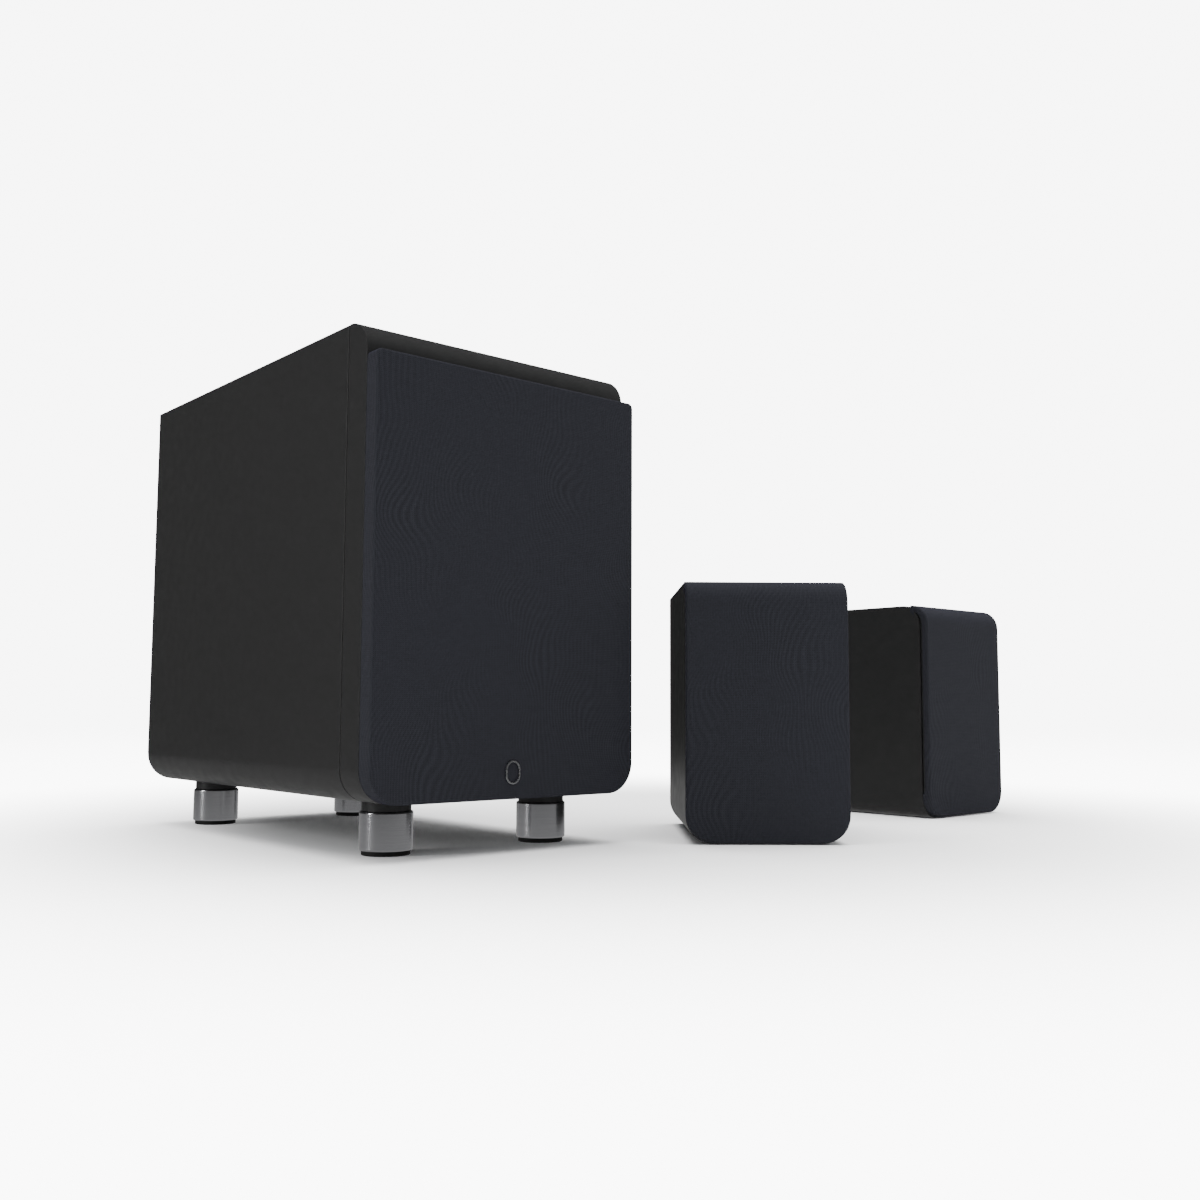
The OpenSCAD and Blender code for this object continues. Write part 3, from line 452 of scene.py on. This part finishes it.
def textured(material, place, grain, colours, roughness, relief,
             stretch=(1, 1, 1), detail=3):
    # a grain so many millimetres wide: it varies the colour and the gloss, and stands in relief
    mapping = addNode(material, "ShaderNodeMapping", {"Scale": stretch}, {"Vector": place})
    noise = addNode(material, "ShaderNodeTexNoise", {"Scale": 1 / (grain * mm), "Detail": detail},
                    {"Vector": mapping.outputs["Vector"]})
    amount = noise.outputs["Fac"]
    link(material, "Base Color", mixed(material, amount, *colours))
    gloss = addNode(material, "ShaderNodeMapRange",
                    {"From Min": 0.25, "From Max": 0.75,
                     "To Min": roughness[0], "To Max": roughness[1]}, {"Value": amount})
    link(material, "Roughness", gloss.outputs["Result"])
    bump = addNode(material, "ShaderNodeBump", {"Distance": relief * mm, "Strength": 1},
                   {"Height": amount})
    link(material, "Normal", bump.outputs["Normal"])
    return amount


def blackLacquer():
    # satin polyurethane lacquer on board: an even black with a faint long orange peel
    finish = newMaterial("satinBlackLacquer")
    setShader(finish, Specular_IOR_Level=0.14, IOR=1.5)
    textured(finish, ownPlace(finish), 9, ("#222222", "#242424"), (0.3, 0.36), 0.004, detail=0)
    return finish


clothSet = {
    "thread": 1.25,       # mm between threads: real ones are 0.5 apart, too fine to show here
    "band": 3.0,          # mm between the faint bands where two layers of threads beat
    "bandCurl": 85,       # mm that the bands wander, over patches so many mm wide
    "patch": 90,
    "bandDepth": 0.14,    # how far the bands lighten and darken the threads at most
    "relief": 0.12,       # mm
    "gap": "#19191c",
    "warp": "#28292e",
    "weft": "#202126",
}


def grilleCloth():
    # woven black polyester: matt threads over a darker gap, with a faint violet bloom at the rims
    finish = newMaterial("wovenGrilleCloth")
    setShader(finish, Roughness=0.9, Specular_IOR_Level=0.1,
              Sheen_Weight=0.02, Sheen_Roughness=0.35, Sheen_Tint=sRGB("#9a88e6"))
    place = addNode(finish, "ShaderNodeTexCoord").outputs["UV"]
    period = math.pi / 10       # a band texture of scale 1 repeats after this length
    threads = []
    for direction in ("X", "Y"):
        wave = addNode(finish, "ShaderNodeTexWave",
                       {"bands_direction": direction, "Scale": period / (clothSet["thread"] * mm)},
                       {"Vector": place})
        threads.append(wave.outputs["Fac"])
    both = {0: threads[0], 1: threads[1]}
    weave = addNode(finish, "ShaderNodeMath", {"operation": "MAXIMUM"}, both)
    crossing = addNode(finish, "ShaderNodeMath", {"operation": "MULTIPLY"}, both)
    thread = mixed(finish, crossing.outputs[0], clothSet["warp"], clothSet["weft"])
    woven = mixed(finish, weave.outputs[0], clothSet["gap"], thread)
    # the bands wander as the cloth's tension does, and fade out here and there
    drift = addNode(finish, "ShaderNodeTexNoise",
                    {"Scale": 1 / (clothSet["patch"] * mm), "Detail": 1}, {"Vector": place})
    curl = addNode(finish, "ShaderNodeVectorMath",
                   {"operation": "SCALE", "Scale": clothSet["bandCurl"] * mm},
                   {0: drift.outputs["Color"]})
    wandering = addNode(finish, "ShaderNodeVectorMath", {"operation": "ADD"},
                        {0: place, 1: curl.outputs[0]})
    bands = addNode(finish, "ShaderNodeTexWave",
                    {"bands_direction": "X", "Scale": period / (clothSet["band"] * mm)},
                    {"Vector": wandering.outputs[0]})
    fade = addNode(finish, "ShaderNodeMapRange",
                   {"From Min": 0.42, "From Max": 0.68,
                    "To Min": 0.08, "To Max": clothSet["bandDepth"] * 2},
                   {"Value": drift.outputs["Fac"]})
    swing = addNode(finish, "ShaderNodeMath", {"operation": "SUBTRACT", 1: 0.5},
                    {0: bands.outputs["Fac"]})
    shade = addNode(finish, "ShaderNodeMath", {"operation": "MULTIPLY_ADD", 2: 1.0},
                    {0: swing.outputs[0], 1: fade.outputs["Result"]})
    banded = addNode(finish, "ShaderNodeVectorMath", {"operation": "SCALE"},
                     {0: woven, "Scale": shade.outputs[0]})
    link(finish, "Base Color", banded.outputs[0])
    bump = addNode(finish, "ShaderNodeBump",
                   {"Distance": clothSet["relief"] * mm, "Strength": 0.6},
                   {"Height": weave.outputs[0]})
    link(finish, "Normal", bump.outputs["Normal"])
    return finish


def mouldedBlack():
    # injection moulded ABS from a spark-eroded tool: fine even pits, satin
    finish = newMaterial("mouldedBlackAbs")
    setShader(finish, Specular_IOR_Level=0.3, IOR=1.53)
    textured(finish, ownPlace(finish), 0.7, ("#19191a", "#202021"), (0.42, 0.58), 0.035)
    return finish


def paintedSteel():
    # powder coated steel plate: a close wrinkle texture, nearly matt
    finish = newMaterial("powderCoatedSteel")
    setShader(finish, Specular_IOR_Level=0.3)
    textured(finish, ownPlace(finish), 1.1, ("#1b1b1c", "#252527"), (0.5, 0.68), 0.09, detail=5)
    return finish


def brushedSteel():
    # stainless steel brushed round the turned foot: fine level lines about 0.3 mm apart
    finish = newMaterial("brushedStainlessSteel")
    setShader(finish, Metallic=1.0)
    textured(finish, ownPlace(finish), 30, ("#9a9a9e", "#bcbcbe"), (0.18, 0.26), 0.007,
             stretch=(1, 1, 90), detail=5)
    return finish


def satinChrome():
    # chromed zinc with a satin face: pale and even, with a soft broken reflection
    finish = newMaterial("satinChromedZinc")
    setShader(finish, Metallic=1.0)
    textured(finish, ownPlace(finish), 0.4, ("#b4b6b8", "#c9cbcc"), (0.2, 0.32), 0.004)
    return finish


def rubber(name, first, second, gloss):
    # black rubber: dull, with a bloom of fine dust
    finish = newMaterial(name)
    setShader(finish, Specular_IOR_Level=0.25)
    textured(finish, ownPlace(finish), 1.6, (first, second), gloss, 0.02)
    return finish


def pressedPaper():
    # paper pulp cone: coarse fibres pressed into a stiff dark felt
    finish = newMaterial("pressedPaperPulp")
    setShader(finish, Specular_IOR_Level=0.15)
    textured(finish, ownPlace(finish), 1.8, ("#111113", "#1f1f21"), (0.7, 0.9), 0.06, detail=8)
    return finish


def wovenSilk():
    # coated silk dome: a very fine cloth under a sticky damping coat
    finish = newMaterial("coatedSilkDome")
    setShader(finish, Specular_IOR_Level=0.4, Sheen_Weight=0.1)
    textured(finish, ownPlace(finish), 0.35, ("#1a1a1e", "#26262b"), (0.35, 0.5), 0.01)
    return finish


def spiderCloth():
    # resin dipped cotton: open amber weave, stiff and a little shiny
    finish = newMaterial("resinDippedCotton")
    setShader(finish, Specular_IOR_Level=0.35)
    textured(finish, ownPlace(finish), 0.9, ("#8a642c", "#b98d48"), (0.45, 0.7), 0.06)
    return finish


def platedSteel(name, first="#8f9296", second="#a6a9ad"):
    # bright zinc plated steel: cool grey with cloudy gloss
    finish = newMaterial(name)
    setShader(finish, Metallic=1.0)
    textured(finish, ownPlace(finish), 3.0, (first, second), (0.26, 0.42), 0.004)
    return finish


def motorMetal(name, place, low, high):
    # plated iron plates with a sintered ferrite ring between them, charcoal and matt
    finish = newMaterial(name)
    here = ownPlace(finish, place)
    textured(finish, here, 2.5, ("#8f9296", "#a6a9ad"), (0.3, 0.45), 0.006)
    plates = shaderOf(finish).inputs["Base Color"].links[0].from_socket
    ring = between(finish, here, 1, low, high)
    link(finish, "Base Color", mixed(finish, ring, plates, "#1d1d1f"))
    metal = addNode(finish, "ShaderNodeMath", {"operation": "SUBTRACT", 0: 1.0}, {1: ring})
    link(finish, "Metallic", metal.outputs[0])
    return finish


def woundWire():
    # enamelled copper wire wound turn by turn: ridges 0.3 mm apart round the former
    finish = newMaterial("enamelledCopperWinding")
    setShader(finish, Metallic=1.0)
    textured(finish, ownPlace(finish), 30, ("#8a4420", "#b9683a"), (0.25, 0.4), 0.05,
             stretch=(1, 100, 1))
    return finish


def tapedWinding():
    # a ring core wound with copper and lapped with yellow polyester tape
    finish = newMaterial("polyesterTapeWinding")
    setShader(finish, Specular_IOR_Level=0.5, Coat_Weight=0.2)
    textured(finish, ownPlace(finish), 6, ("#8f6f1e", "#c49b35"), (0.25, 0.4), 0.08,
             stretch=(1, 3, 1))
    return finish


def circuitBoard(name, place, axis, low, high, beyond):
    # fibreglass board under green resist between two distances, dark parts before it and
    # others beyond
    finish = newMaterial(name)
    here = ownPlace(finish, place)
    setShader(finish, Specular_IOR_Level=0.5)
    amount = textured(finish, here, 3.5, ("#0f2d1a", "#174527"), (0.3, 0.45), 0.01, detail=1)
    tracks = addNode(finish, "ShaderNodeTexBrick",
                     {"Color1": sRGB("#12381f"), "Color2": sRGB("#1a5230"),
                      "Mortar": sRGB("#0d2716"), "Scale": 90, "Mortar Size": 0.03},
                     {"Vector": here})
    resist = mixed(finish, amount, tracks.outputs["Color"], "#174527")
    board = between(finish, here, axis, low, high)
    far = between(finish, here, axis, high, beyondAll)
    parts = mixed(finish, far, "#16171d", beyond)
    link(finish, "Base Color", mixed(finish, board, parts, resist))
    return finish


def anodised():
    # black anodised aluminium extrusion: fine drawn lines along the fins
    finish = newMaterial("blackAnodisedAluminium")
    setShader(finish, Metallic=0.7)
    textured(finish, ownPlace(finish), 12, ("#17181a", "#26282a"), (0.35, 0.5), 0.015,
             stretch=(30, 30, 1))
    return finish


def insulation(name, place):
    # silicone lead insulation: black on the left lead of a pair and red on the right
    finish = newMaterial(name)
    here = ownPlace(finish, place)
    setShader(finish, Specular_IOR_Level=0.35)
    textured(finish, here, 1.2, ("#0c0c0d", "#141415"), (0.45, 0.6), 0.01)
    black = shaderOf(finish).inputs["Base Color"].links[0].from_socket
    right = between(finish, here, 0, 0, beyondAll)
    link(finish, "Base Color", mixed(finish, right, black, "#7c1216"))
    return finish


def goldPlate():
    # gold plated brass: warm, smooth and bright
    finish = newMaterial("goldPlatedBrass")
    setShader(finish, Metallic=1.0)
    textured(finish, ownPlace(finish), 2.0, ("#b88a3c", "#d3a656"), (0.16, 0.28), 0.003)
    return finish


def tintedCap(name, first, second):
    # clear tinted polycarbonate: deep colour under a glossy moulded skin
    finish = newMaterial(name)
    setShader(finish, Specular_IOR_Level=0.5, IOR=1.58, Coat_Weight=0.3, Coat_Roughness=0.1)
    textured(finish, ownPlace(finish), 2.2, (first, second), (0.22, 0.34), 0.008)
    return finish


def printInk():
    # white screen printing ink: thin, matt and a little uneven
    finish = newMaterial("whitePrintingInk")
    setShader(finish, Specular_IOR_Level=0.3)
    textured(finish, ownPlace(finish), 0.9, ("#8b8c8e", "#a7a8aa"), (0.5, 0.7), 0.004)
    return finish


def lampLens():
    # blue tinted acrylic light guide, off: deep blue and glossy
    finish = newMaterial("blueAcrylicLens")
    setShader(finish, Specular_IOR_Level=0.5, Coat_Weight=0.5)
    textured(finish, ownPlace(finish), 1.5, ("#0c2a5c", "#164082"), (0.12, 0.2), 0.002)
    return finish


finishes = {
    "lacquer": blackLacquer(), "cloth": grilleCloth(), "abs": mouldedBlack(),
    "paint": paintedSteel(), "steel": brushedSteel(), "chrome": satinChrome(),
    "paper": pressedPaper(), "silk": wovenSilk(),
    "spider": spiderCloth(), "zinc": platedSteel("zincPlatedSteel"),
    "blackScrew": platedSteel("blackZincPlatedSteel", "#17171a", "#242428"),
    "nickel": platedSteel("nickelPlatedBrass", "#a9a69e", "#c0bdb4"),
    "wire": woundWire(), "tape": tapedWinding(), "anodised": anodised(), "gold": goldPlate(),
    "red": tintedCap("redPolycarbonate", "#5e0a10", "#7d1018"),
    "black": tintedCap("blackPolycarbonate", "#0b0b0c", "#131314"),
    "white": tintedCap("whiteNylon", "#8e8d88", "#a3a29c"),
    "ink": printInk(), "lens": lampLens(),
    "pad": rubber("footRubber", "#0e0e0e", "#151515", (0.6, 0.8)),
    "roll": rubber("butylRubber", "#161617", "#202021", (0.4, 0.55)),
}
print("finishes:", len(finishes))

# the subwoofer's cabinet and baffle

cabinetSet = {"edge": 0.8, "seamEdge": 0.3}


def makeSubCabinet():
    cabinet = softened("sub_cabinet", "subCabinet", cabinetSet["edge"], 3)
    fit(cabinet, finishes["lacquer"], "subwoofer", "cabinet", "sub_cabinet")
    baffle = softened("sub_baffle", "subBaffle", cabinetSet["seamEdge"])
    fit(baffle, finishes["lacquer"], "subwoofer", "cabinet", "sub_baffle")


# the grilles: cloth pulled round a frame, with a hem turned in behind it

subClothSet = {
    "thickness": 0.5,
    "bottomRadius": 22,
    "topRadius": 4,
    "rim": 1.8,          # radius at which the cloth bends round the frame
    "back": 0.5,         # how far the hem stays in front of the baffle
    "hem": 5,
}


def layWeave(piece, front):
    # the weave runs on round the edges: u across and v up, both in metres along the cloth
    layer = piece.data.uv_layers.active or piece.data.uv_layers.new(name="weave")
    layer.name = "weave"
    for face in piece.data.polygons:
        across, back, up = (abs(c) for c in face.normal)
        for corner in face.loop_indices:
            x, y, z = piece.data.vertices[piece.data.loops[corner].vertex_index].co
            depth = y - front
            if across > back and across > up:
                x += math.copysign(depth, x)
            elif up > back:
                z += math.copysign(depth, face.normal.z)
            layer.data[corner].uv = (x, z)


def sharpEdge(edge):
    return len(edge.link_faces) == 2 and edge.calc_face_angle() > math.radians(50)


def makeSubCloth():
    s = subClothSet
    low, high = corners("sub_grille_cloth")
    bottom, top = low.z / mm, high.z / mm
    half = (high.x - low.x) / mm / 2
    front = (low.y - subLow.y) / mm
    cloth = block("subGrilleCloth", (-half, front, bottom), (half, -s["back"], top))
    startEditing(cloth)
    for level, radius, steps in ((bottom, s["bottomRadius"], 20), (top, s["topRadius"], 4)):
        pick(cloth, "EDGE", lambda e: abs(e.verts[0].co.y - e.verts[1].co.y) > mm
             and abs(middleOf(e).z - level * mm) < 0.1 * mm)
        bpy.ops.mesh.bevel(offset=radius * mm, segments=steps)
    pick(cloth, "EDGE", lambda e: sharpEdge(e) and middleOf(e).y < (front + 0.1) * mm)
    bpy.ops.mesh.bevel(offset=s["rim"] * mm, segments=6)
    pick(cloth, "FACE", lambda f: f.normal.y > 0.9)
    bpy.ops.mesh.inset(thickness=s["hem"] * mm)
    bpy.ops.mesh.delete(type="FACE")
    stopEditing()
    modify(cloth, "SOLIDIFY", thickness=s["thickness"] * mm, offset=-1)
    smoothed(cloth, roundAngle)
    layWeave(cloth, front * mm)
    moved(cloth, subFrame)
    fit(cloth, finishes["cloth"], "sub_grille", "grille_cloth", "sub_grille_cloth")


satClothSet = {
    "thickness": 0.35,
    "bottomRadius": 20,
    "topRadius": 18,
    "rim": 1.8,
    "reach": 9,          # how far the grille laps back over the top
    "lift": 1,
    "back": 0.5,
    "hem": 3.5,
}


def makeSatelliteCloth():
    s = satClothSet
    half, height = satSize.x / mm / 2, satSize.z / mm
    front = (corners("right_grille_cloth")[0].y - satLow.y) / mm
    cloth = block("satelliteCloth", (-half, front, s["lift"]), (half, s["reach"], height))
    startEditing(cloth)
    pick(cloth, "EDGE", lambda e: abs(e.verts[0].co.y - e.verts[1].co.y) > mm
         and abs(middleOf(e).z - s["lift"] * mm) < 0.1 * mm)
    bpy.ops.mesh.bevel(offset=s["bottomRadius"] * mm, segments=18)
    pick(cloth, "EDGE", lambda e: abs(e.verts[0].co.x - e.verts[1].co.x) > mm
         and abs(middleOf(e).z - height * mm) < 0.1 * mm and middleOf(e).y < 0)
    # the rounding runs out a hair short of the back, so that a level strip is left there
    bpy.ops.mesh.bevel(offset=min(s["topRadius"], s["reach"] - front - 0.05) * mm, segments=16)
    pick(cloth, "EDGE", lambda e: sharpEdge(e) and middleOf(e).y < (s["reach"] - 0.1) * mm)
    bpy.ops.mesh.bevel(offset=s["rim"] * mm, segments=6)
    stopEditing()
    # what the cabinet takes up, with the hem's gap, is cut away
    gap = s["back"]
    cabinet = block("cabinetSpace", (-half - 20, -gap, -20), (half + 20, 60, height + gap))
    startEditing(cabinet)
    pick(cabinet, "EDGE", lambda e: abs(e.verts[0].co.x - e.verts[1].co.x) > mm
         and middleOf(e).z > 0 and middleOf(e).y < 0)
    bpy.ops.mesh.bevel(offset=(s["topRadius"] + gap) * mm, segments=24)
    stopEditing()
    modify(cloth, "BOOLEAN", operation="DIFFERENCE", object=cabinet, solver="EXACT")
    bpy.data.objects.remove(cabinet)
    startEditing(cloth)
    bpy.ops.mesh.remove_doubles(threshold=weldGap)
    arc = Vector((0, s["topRadius"] * mm, (height - s["topRadius"]) * mm))

    def facesCabinet(face):
        middle = middleOf(face)
        middle.x = 0
        if middle.z < arc.z:
            return face.normal.y > 0.9
        near = (middle - arc).length < (s["topRadius"] + gap + 0.3) * mm
        return near and (middle - arc).dot(face.normal) < 0

    pick(cloth, "FACE", facesCabinet)
    bpy.ops.mesh.inset(thickness=s["hem"] * mm)
    bpy.ops.mesh.delete(type="FACE")
    stopEditing()
    modify(cloth, "SOLIDIFY", thickness=s["thickness"] * mm, offset=-1)
    smoothed(cloth, roundAngle)
    layWeave(cloth, front * mm)
    for side, place in satFrames.items():
        twin = copied(cloth, side + "GrilleCloth", place)
        fit(twin, finishes["cloth"], side + "_grille", "grille_cloth", side + "_grille_cloth")
    bpy.data.objects.remove(cloth)


grilleFrameSet = {"edge": 0.8}


def makeGrilleFrames():
    for side in ("sub", "left", "right"):
        node = side + "_grille_frame"
        rails = softened(node, side + "GrilleFrame", grilleFrameSet["edge"])
        fit(rails, finishes["abs"], side + "_grille", "grille_frame", node)


badgeSet = {"line": 1.3, "edge": 0.3, "sides": 48}


def makeBadge():
    # a plain oval ring
    s = badgeSet
    low, high = corners("sub_grille_badge")
    size, centre = high - low, (high + low) / 2
    radius = size.x / 2
    bpy.ops.object.select_all(action="DESELECT")
    bpy.ops.mesh.primitive_circle_add(vertices=s["sides"], radius=radius,
                                      rotation=(math.radians(90), 0, 0))
    ring = bpy.context.object
    ring.name = "subBadge"
    bpy.ops.object.transform_apply(location=True, rotation=True, scale=True)
    startEditing(ring)
    stretch = size.z / 2 - radius
    for way in (1, -1):
        pick(ring, "EDGE", lambda e: middleOf(e).z * way > 0)
        bpy.ops.transform.translate(value=(0, 0, way * stretch))
    bpy.ops.mesh.select_all(action="SELECT")
    bpy.ops.mesh.extrude_region_move(TRANSFORM_OT_translate={"value": (0, 0, 0)})
    line = s["line"] * mm
    share = (1 - line / radius, 1, 1 - 2 * line / size.z)
    bpy.ops.transform.resize(value=share, center_override=(0, 0, 0))
    stopEditing()
    modify(ring, "SOLIDIFY", thickness=size.y, offset=0)
    startEditing(ring)
    bpy.ops.mesh.normals_make_consistent(inside=False)
    stopEditing()
    easeEdges(ring, s["edge"], 3, sharp=60)
    moved(ring, Matrix.Translation(centre))
    fit(ring, finishes["chrome"], "sub_grille", "badge", "sub_grille_badge")


footSet = {"collarEdge": 0.3, "padEdge": 0.5}


def makeFeet():
    collars = softened("sub_foot_cores", "subFootCollars", footSet["collarEdge"])
    fit(collars, finishes["abs"], "subwoofer", "foot_core", "sub_foot_cores")
    pads = softened("sub_foot_pads", "subFootPads", footSet["padEdge"])
    fit(pads, finishes["pad"], "subwoofer", "foot_pad", "sub_foot_pads")


# the satellites' cabinets and the caps of their terminals

capSet = {"edge": 0.25}


def makeSatelliteCabinets():
    for side in satFrames:
        body = side + "_satellite"
        cabinet = softened(side + "_cabinet", side + "Cabinet", cabinetSet["edge"], 3)
        fit(cabinet, finishes["lacquer"], body, "cabinet", side + "_cabinet")
        for colour, slot in (("red", "red_cap"), ("black", "black_cap")):
            node = f"{side}_{colour}_cap"
            cap = softened(node, side + colour.title() + "Cap", capSet["edge"])
            fit(cap, finishes[colour], f"{side}_{colour}_post", slot, node)


# the controls and sockets on the subwoofer's back

knobSet = {
    "edge": 0.4,
    "markWidth": 0.9,     # of the pointer, which fills the knob's groove
    "markFrom": 2.2,      # from the knob's axis
    "markTo": 8.2,
    "markDepth": 0.9,     # from the knob's face to the pointer's foot
    "markSink": 0.2,      # from the knob's face to the pointer's own
    "ticks": 11,          # printed round each knob over its travel
    "travel": 300,        # degrees
    "tickFrom": 11,
    "tick": (0.5, 2.4),   # width and length
    "ink": 0.12,          # how far a tick stands off the plate
}


def middleAndFace(node):
    # the middle of a node across and up, and how far back it reaches, in millimetres
    low, high = corners(node)
    return (low.x + high.x) / 2 / mm, high.y / mm, (low.z + high.z) / 2 / mm


def makeKnobs():
    s = knobSet
    plate = corners("sub_amp_plate")[1].y / mm
    marks = []
    for kind in ("level", "crossover"):
        node, body = f"sub_{kind}_knob", kind + "_knob"
        knob = softened(node, kind + "Knob", s["edge"])
        fit(knob, finishes["abs"], body, "knob", node)
        x, face, z = middleAndFace(node)
        half = s["markWidth"] / 2
        pointer = block(kind + "KnobPointer",
                        (x - half, face - s["markDepth"], z + s["markFrom"]),
                        (x + half, face - s["markSink"], z + s["markTo"]))
        easeEdges(pointer, 0.15)
        fit(pointer, finishes["ink"], body, "switch")
        width, length = s["tick"]
        tick = block("tick", (-width / 2, -0.05, s["tickFrom"]),
                     (width / 2, s["ink"], s["tickFrom"] + length))
        easeEdges(tick, 0.08, 1)
        for i in range(s["ticks"]):
            turn = math.radians(s["travel"] * (i / (s["ticks"] - 1) - 0.5))
            place = placed(x, plate, z) @ Matrix.Rotation(turn, 4, "Y")
            marks.append(copied(tick, "tick", place))
        bpy.data.objects.remove(tick)
    fit(joined("controlTicks", marks), finishes["ink"], "subwoofer", "switch")


socketSet = {
    "softened": (
        # node, name, width of its eased edges, finish, body, slot
        ("sub_amp_plate", "subRearPlate", 0.5, "paint", "subwoofer", "amp_plate"),
        ("sub_mains_inlet", "subMainsInlet", 0.5, "abs", "subwoofer", "inlet"),
        ("sub_power_rocker", "subPowerRocker", 0.6, "abs", "power_rocker", "knob"),
        ("sub_phase_switch", "subPhaseSwitch", 0.4, "white", "phase_switch", "switch"),
    ),
    # profiles of (radius, height)
    "washer": [(5.6, 0), (5.6, 0.9), (5.2, 1.3), (4.3, 1.3), (4.3, 0)],
    "washerSeat": 2,      # from the plate to the jack's flange
    "bush": [(3.5, 0), (3.5, 0.2), (3.3, 0.35), (1.8, 0.35), (1.65, 0.2), (1.65, 0)],
}


def makeSockets():
    for node, name, edge, finish, body, slot in socketSet["softened"]:
        fit(softened(node, name, edge), finishes[finish], body, slot, node)
    # a coloured washer on each phono jack's flange and a nylon bush in its mouth
    low, high = corners("sub_input_jacks")
    plate, face = corners("sub_amp_plate")[1].y / mm, high.y / mm
    height = (low.z + high.z) / 2 / mm
    radius = (high.z - low.z) / 2 / mm
    for x, name, finish, slot in ((low.x / mm + radius, "Right", "red", "red_cap"),
                                  (high.x / mm - radius, "Left", "white", "switch")):
        seat = along(x, plate + socketSet["washerSeat"], height)
        washer = turned(f"jack{name}Washer", socketSet["washer"], seat, ring=True)
        fit(washer, finishes[finish], "subwoofer", slot)
        mouth = along(x, face, height)
        bush = turned(f"jack{name}Bush", socketSet["bush"], mouth, ring=True)
        fit(bush, finishes["white"], "subwoofer", "switch")


bladeSet = {
    "socket": -11,       # the socket's middle from the inlet's
    "places": ((-7, -1.5), (7, -1.5), (0, 2.5)),    # across and up from the socket's middle
    "width": 2.1,
    "height": 4.1,
    "length": 13.1,
    "behind": 19.1,      # from the inlet's face to the blades' roots
    "edge": 0.4,
}


def makeBlades():
    # nickel plated blades inside the mains inlet
    s = bladeSet
    x, face, z = middleAndFace("sub_mains_inlet")
    blades = []
    for across, up in s["places"]:
        low = (x + s["socket"] + across - s["width"] / 2, face - s["behind"],
               z + up - s["height"] / 2)
        high = (low[0] + s["width"], low[1] + s["length"], low[2] + s["height"])
        blade = block("blade", low, high)
        blades.append(easeEdges(blade, s["edge"]))
    fit(joined("inletBlades", blades), finishes["nickel"], "subwoofer", "jacks")


insertSet = {
    # (radius past the bore, height off the panel)
    "profile": ((1.5, -0.3), (1.5, 0.1), (1.3, 0.25), (0.1, 0.25), (0, 0.1), (0, -0.3)),
}


def makeInserts():
    # the flange of the brass thread that a wall bracket screws into
    for side, place in satFrames.items():
        thread = mounts[side + "_bracket_thread"]
        bore, height = thread["dims"]["r_mm"], thread["pos_m"][2] / mm
        profile = [(bore + out, up) for out, up in insertSet["profile"]]
        seat = place @ along(0, satSize.y / mm, height)
        flange = turned(side + "InsertFlange", profile, seat, ring=True)
        fit(flange, finishes["gold"], side + "_satellite", "studs")


makeSubCabinet()
makeSubCloth()
makeSatelliteCloth()
makeGrilleFrames()
makeBadge()
makeFeet()
makeSatelliteCabinets()
print("cabinets, grilles and feet")
makeKnobs()
makeSockets()
makeBlades()
makeInserts()
print("controls, sockets and inserts")


# the CAD parts whose shape is right keep it and take their finish here

layerSet = {
    # where a layer starts and ends in its speaker's frame, in millimetres
    "subFerrite": (71, 91),
    "subBoard": (317.9, 319.8),
    "satelliteFerrite": (30, 40),
    "satelliteBoard": (12.9, 14.7),
}


def nodeFinishes():
    f = finishes
    table = {
        "sub_woofer_basket": f["abs"],
        "sub_woofer_motor": motorMetal("subMotorMetal", subFrame, *layerSet["subFerrite"]),
        "sub_woofer_cone": f["paper"], "sub_woofer_surround": f["roll"],
        "sub_woofer_spider": f["spider"], "sub_woofer_voice_coil": f["wire"],
        "sub_woofer_leads": insulation("subLeadInsulation", subFrame),
        "sub_screws": f["blackScrew"],
        "sub_amp_board": circuitBoard("subCircuitBoard", subFrame, 1, *layerSet["subBoard"],
                                      "#3a3b3e"),
        "sub_transformer": f["tape"], "sub_heat_sink": f["anodised"],
        "sub_input_jacks": f["nickel"], "sub_status_lamp": f["lens"],
        "sub_foot_sleeves": f["steel"], "sub_foot_bolts": f["zinc"],
    }
    for side, place in satFrames.items():
        table.update({
            side + "_woofer_basket": f["abs"],
            side + "_woofer_motor": motorMetal(side + "MotorMetal", place,
                                               *layerSet["satelliteFerrite"]),
            side + "_woofer_cone": f["paper"], side + "_woofer_surround": f["roll"],
            side + "_tweeter": f["abs"], side + "_rear_panel": f["abs"],
            side + "_tweeter_dome": f["silk"],
            side + "_crossover_board": circuitBoard(side + "CircuitBoard", place, 2,
                                                    *layerSet["satelliteBoard"], "#7c4a22"),
            side + "_leads": insulation(side + "LeadInsulation", place),
            side + "_terminal_studs": f["gold"], side + "_screws": f["blackScrew"],
        })
    return table


for name, finish in nodeFinishes().items():
    node = frame["nodes"][name]
    node.data.materials.clear()
    node.data.materials.append(finish)
print("finishes on the CAD parts")
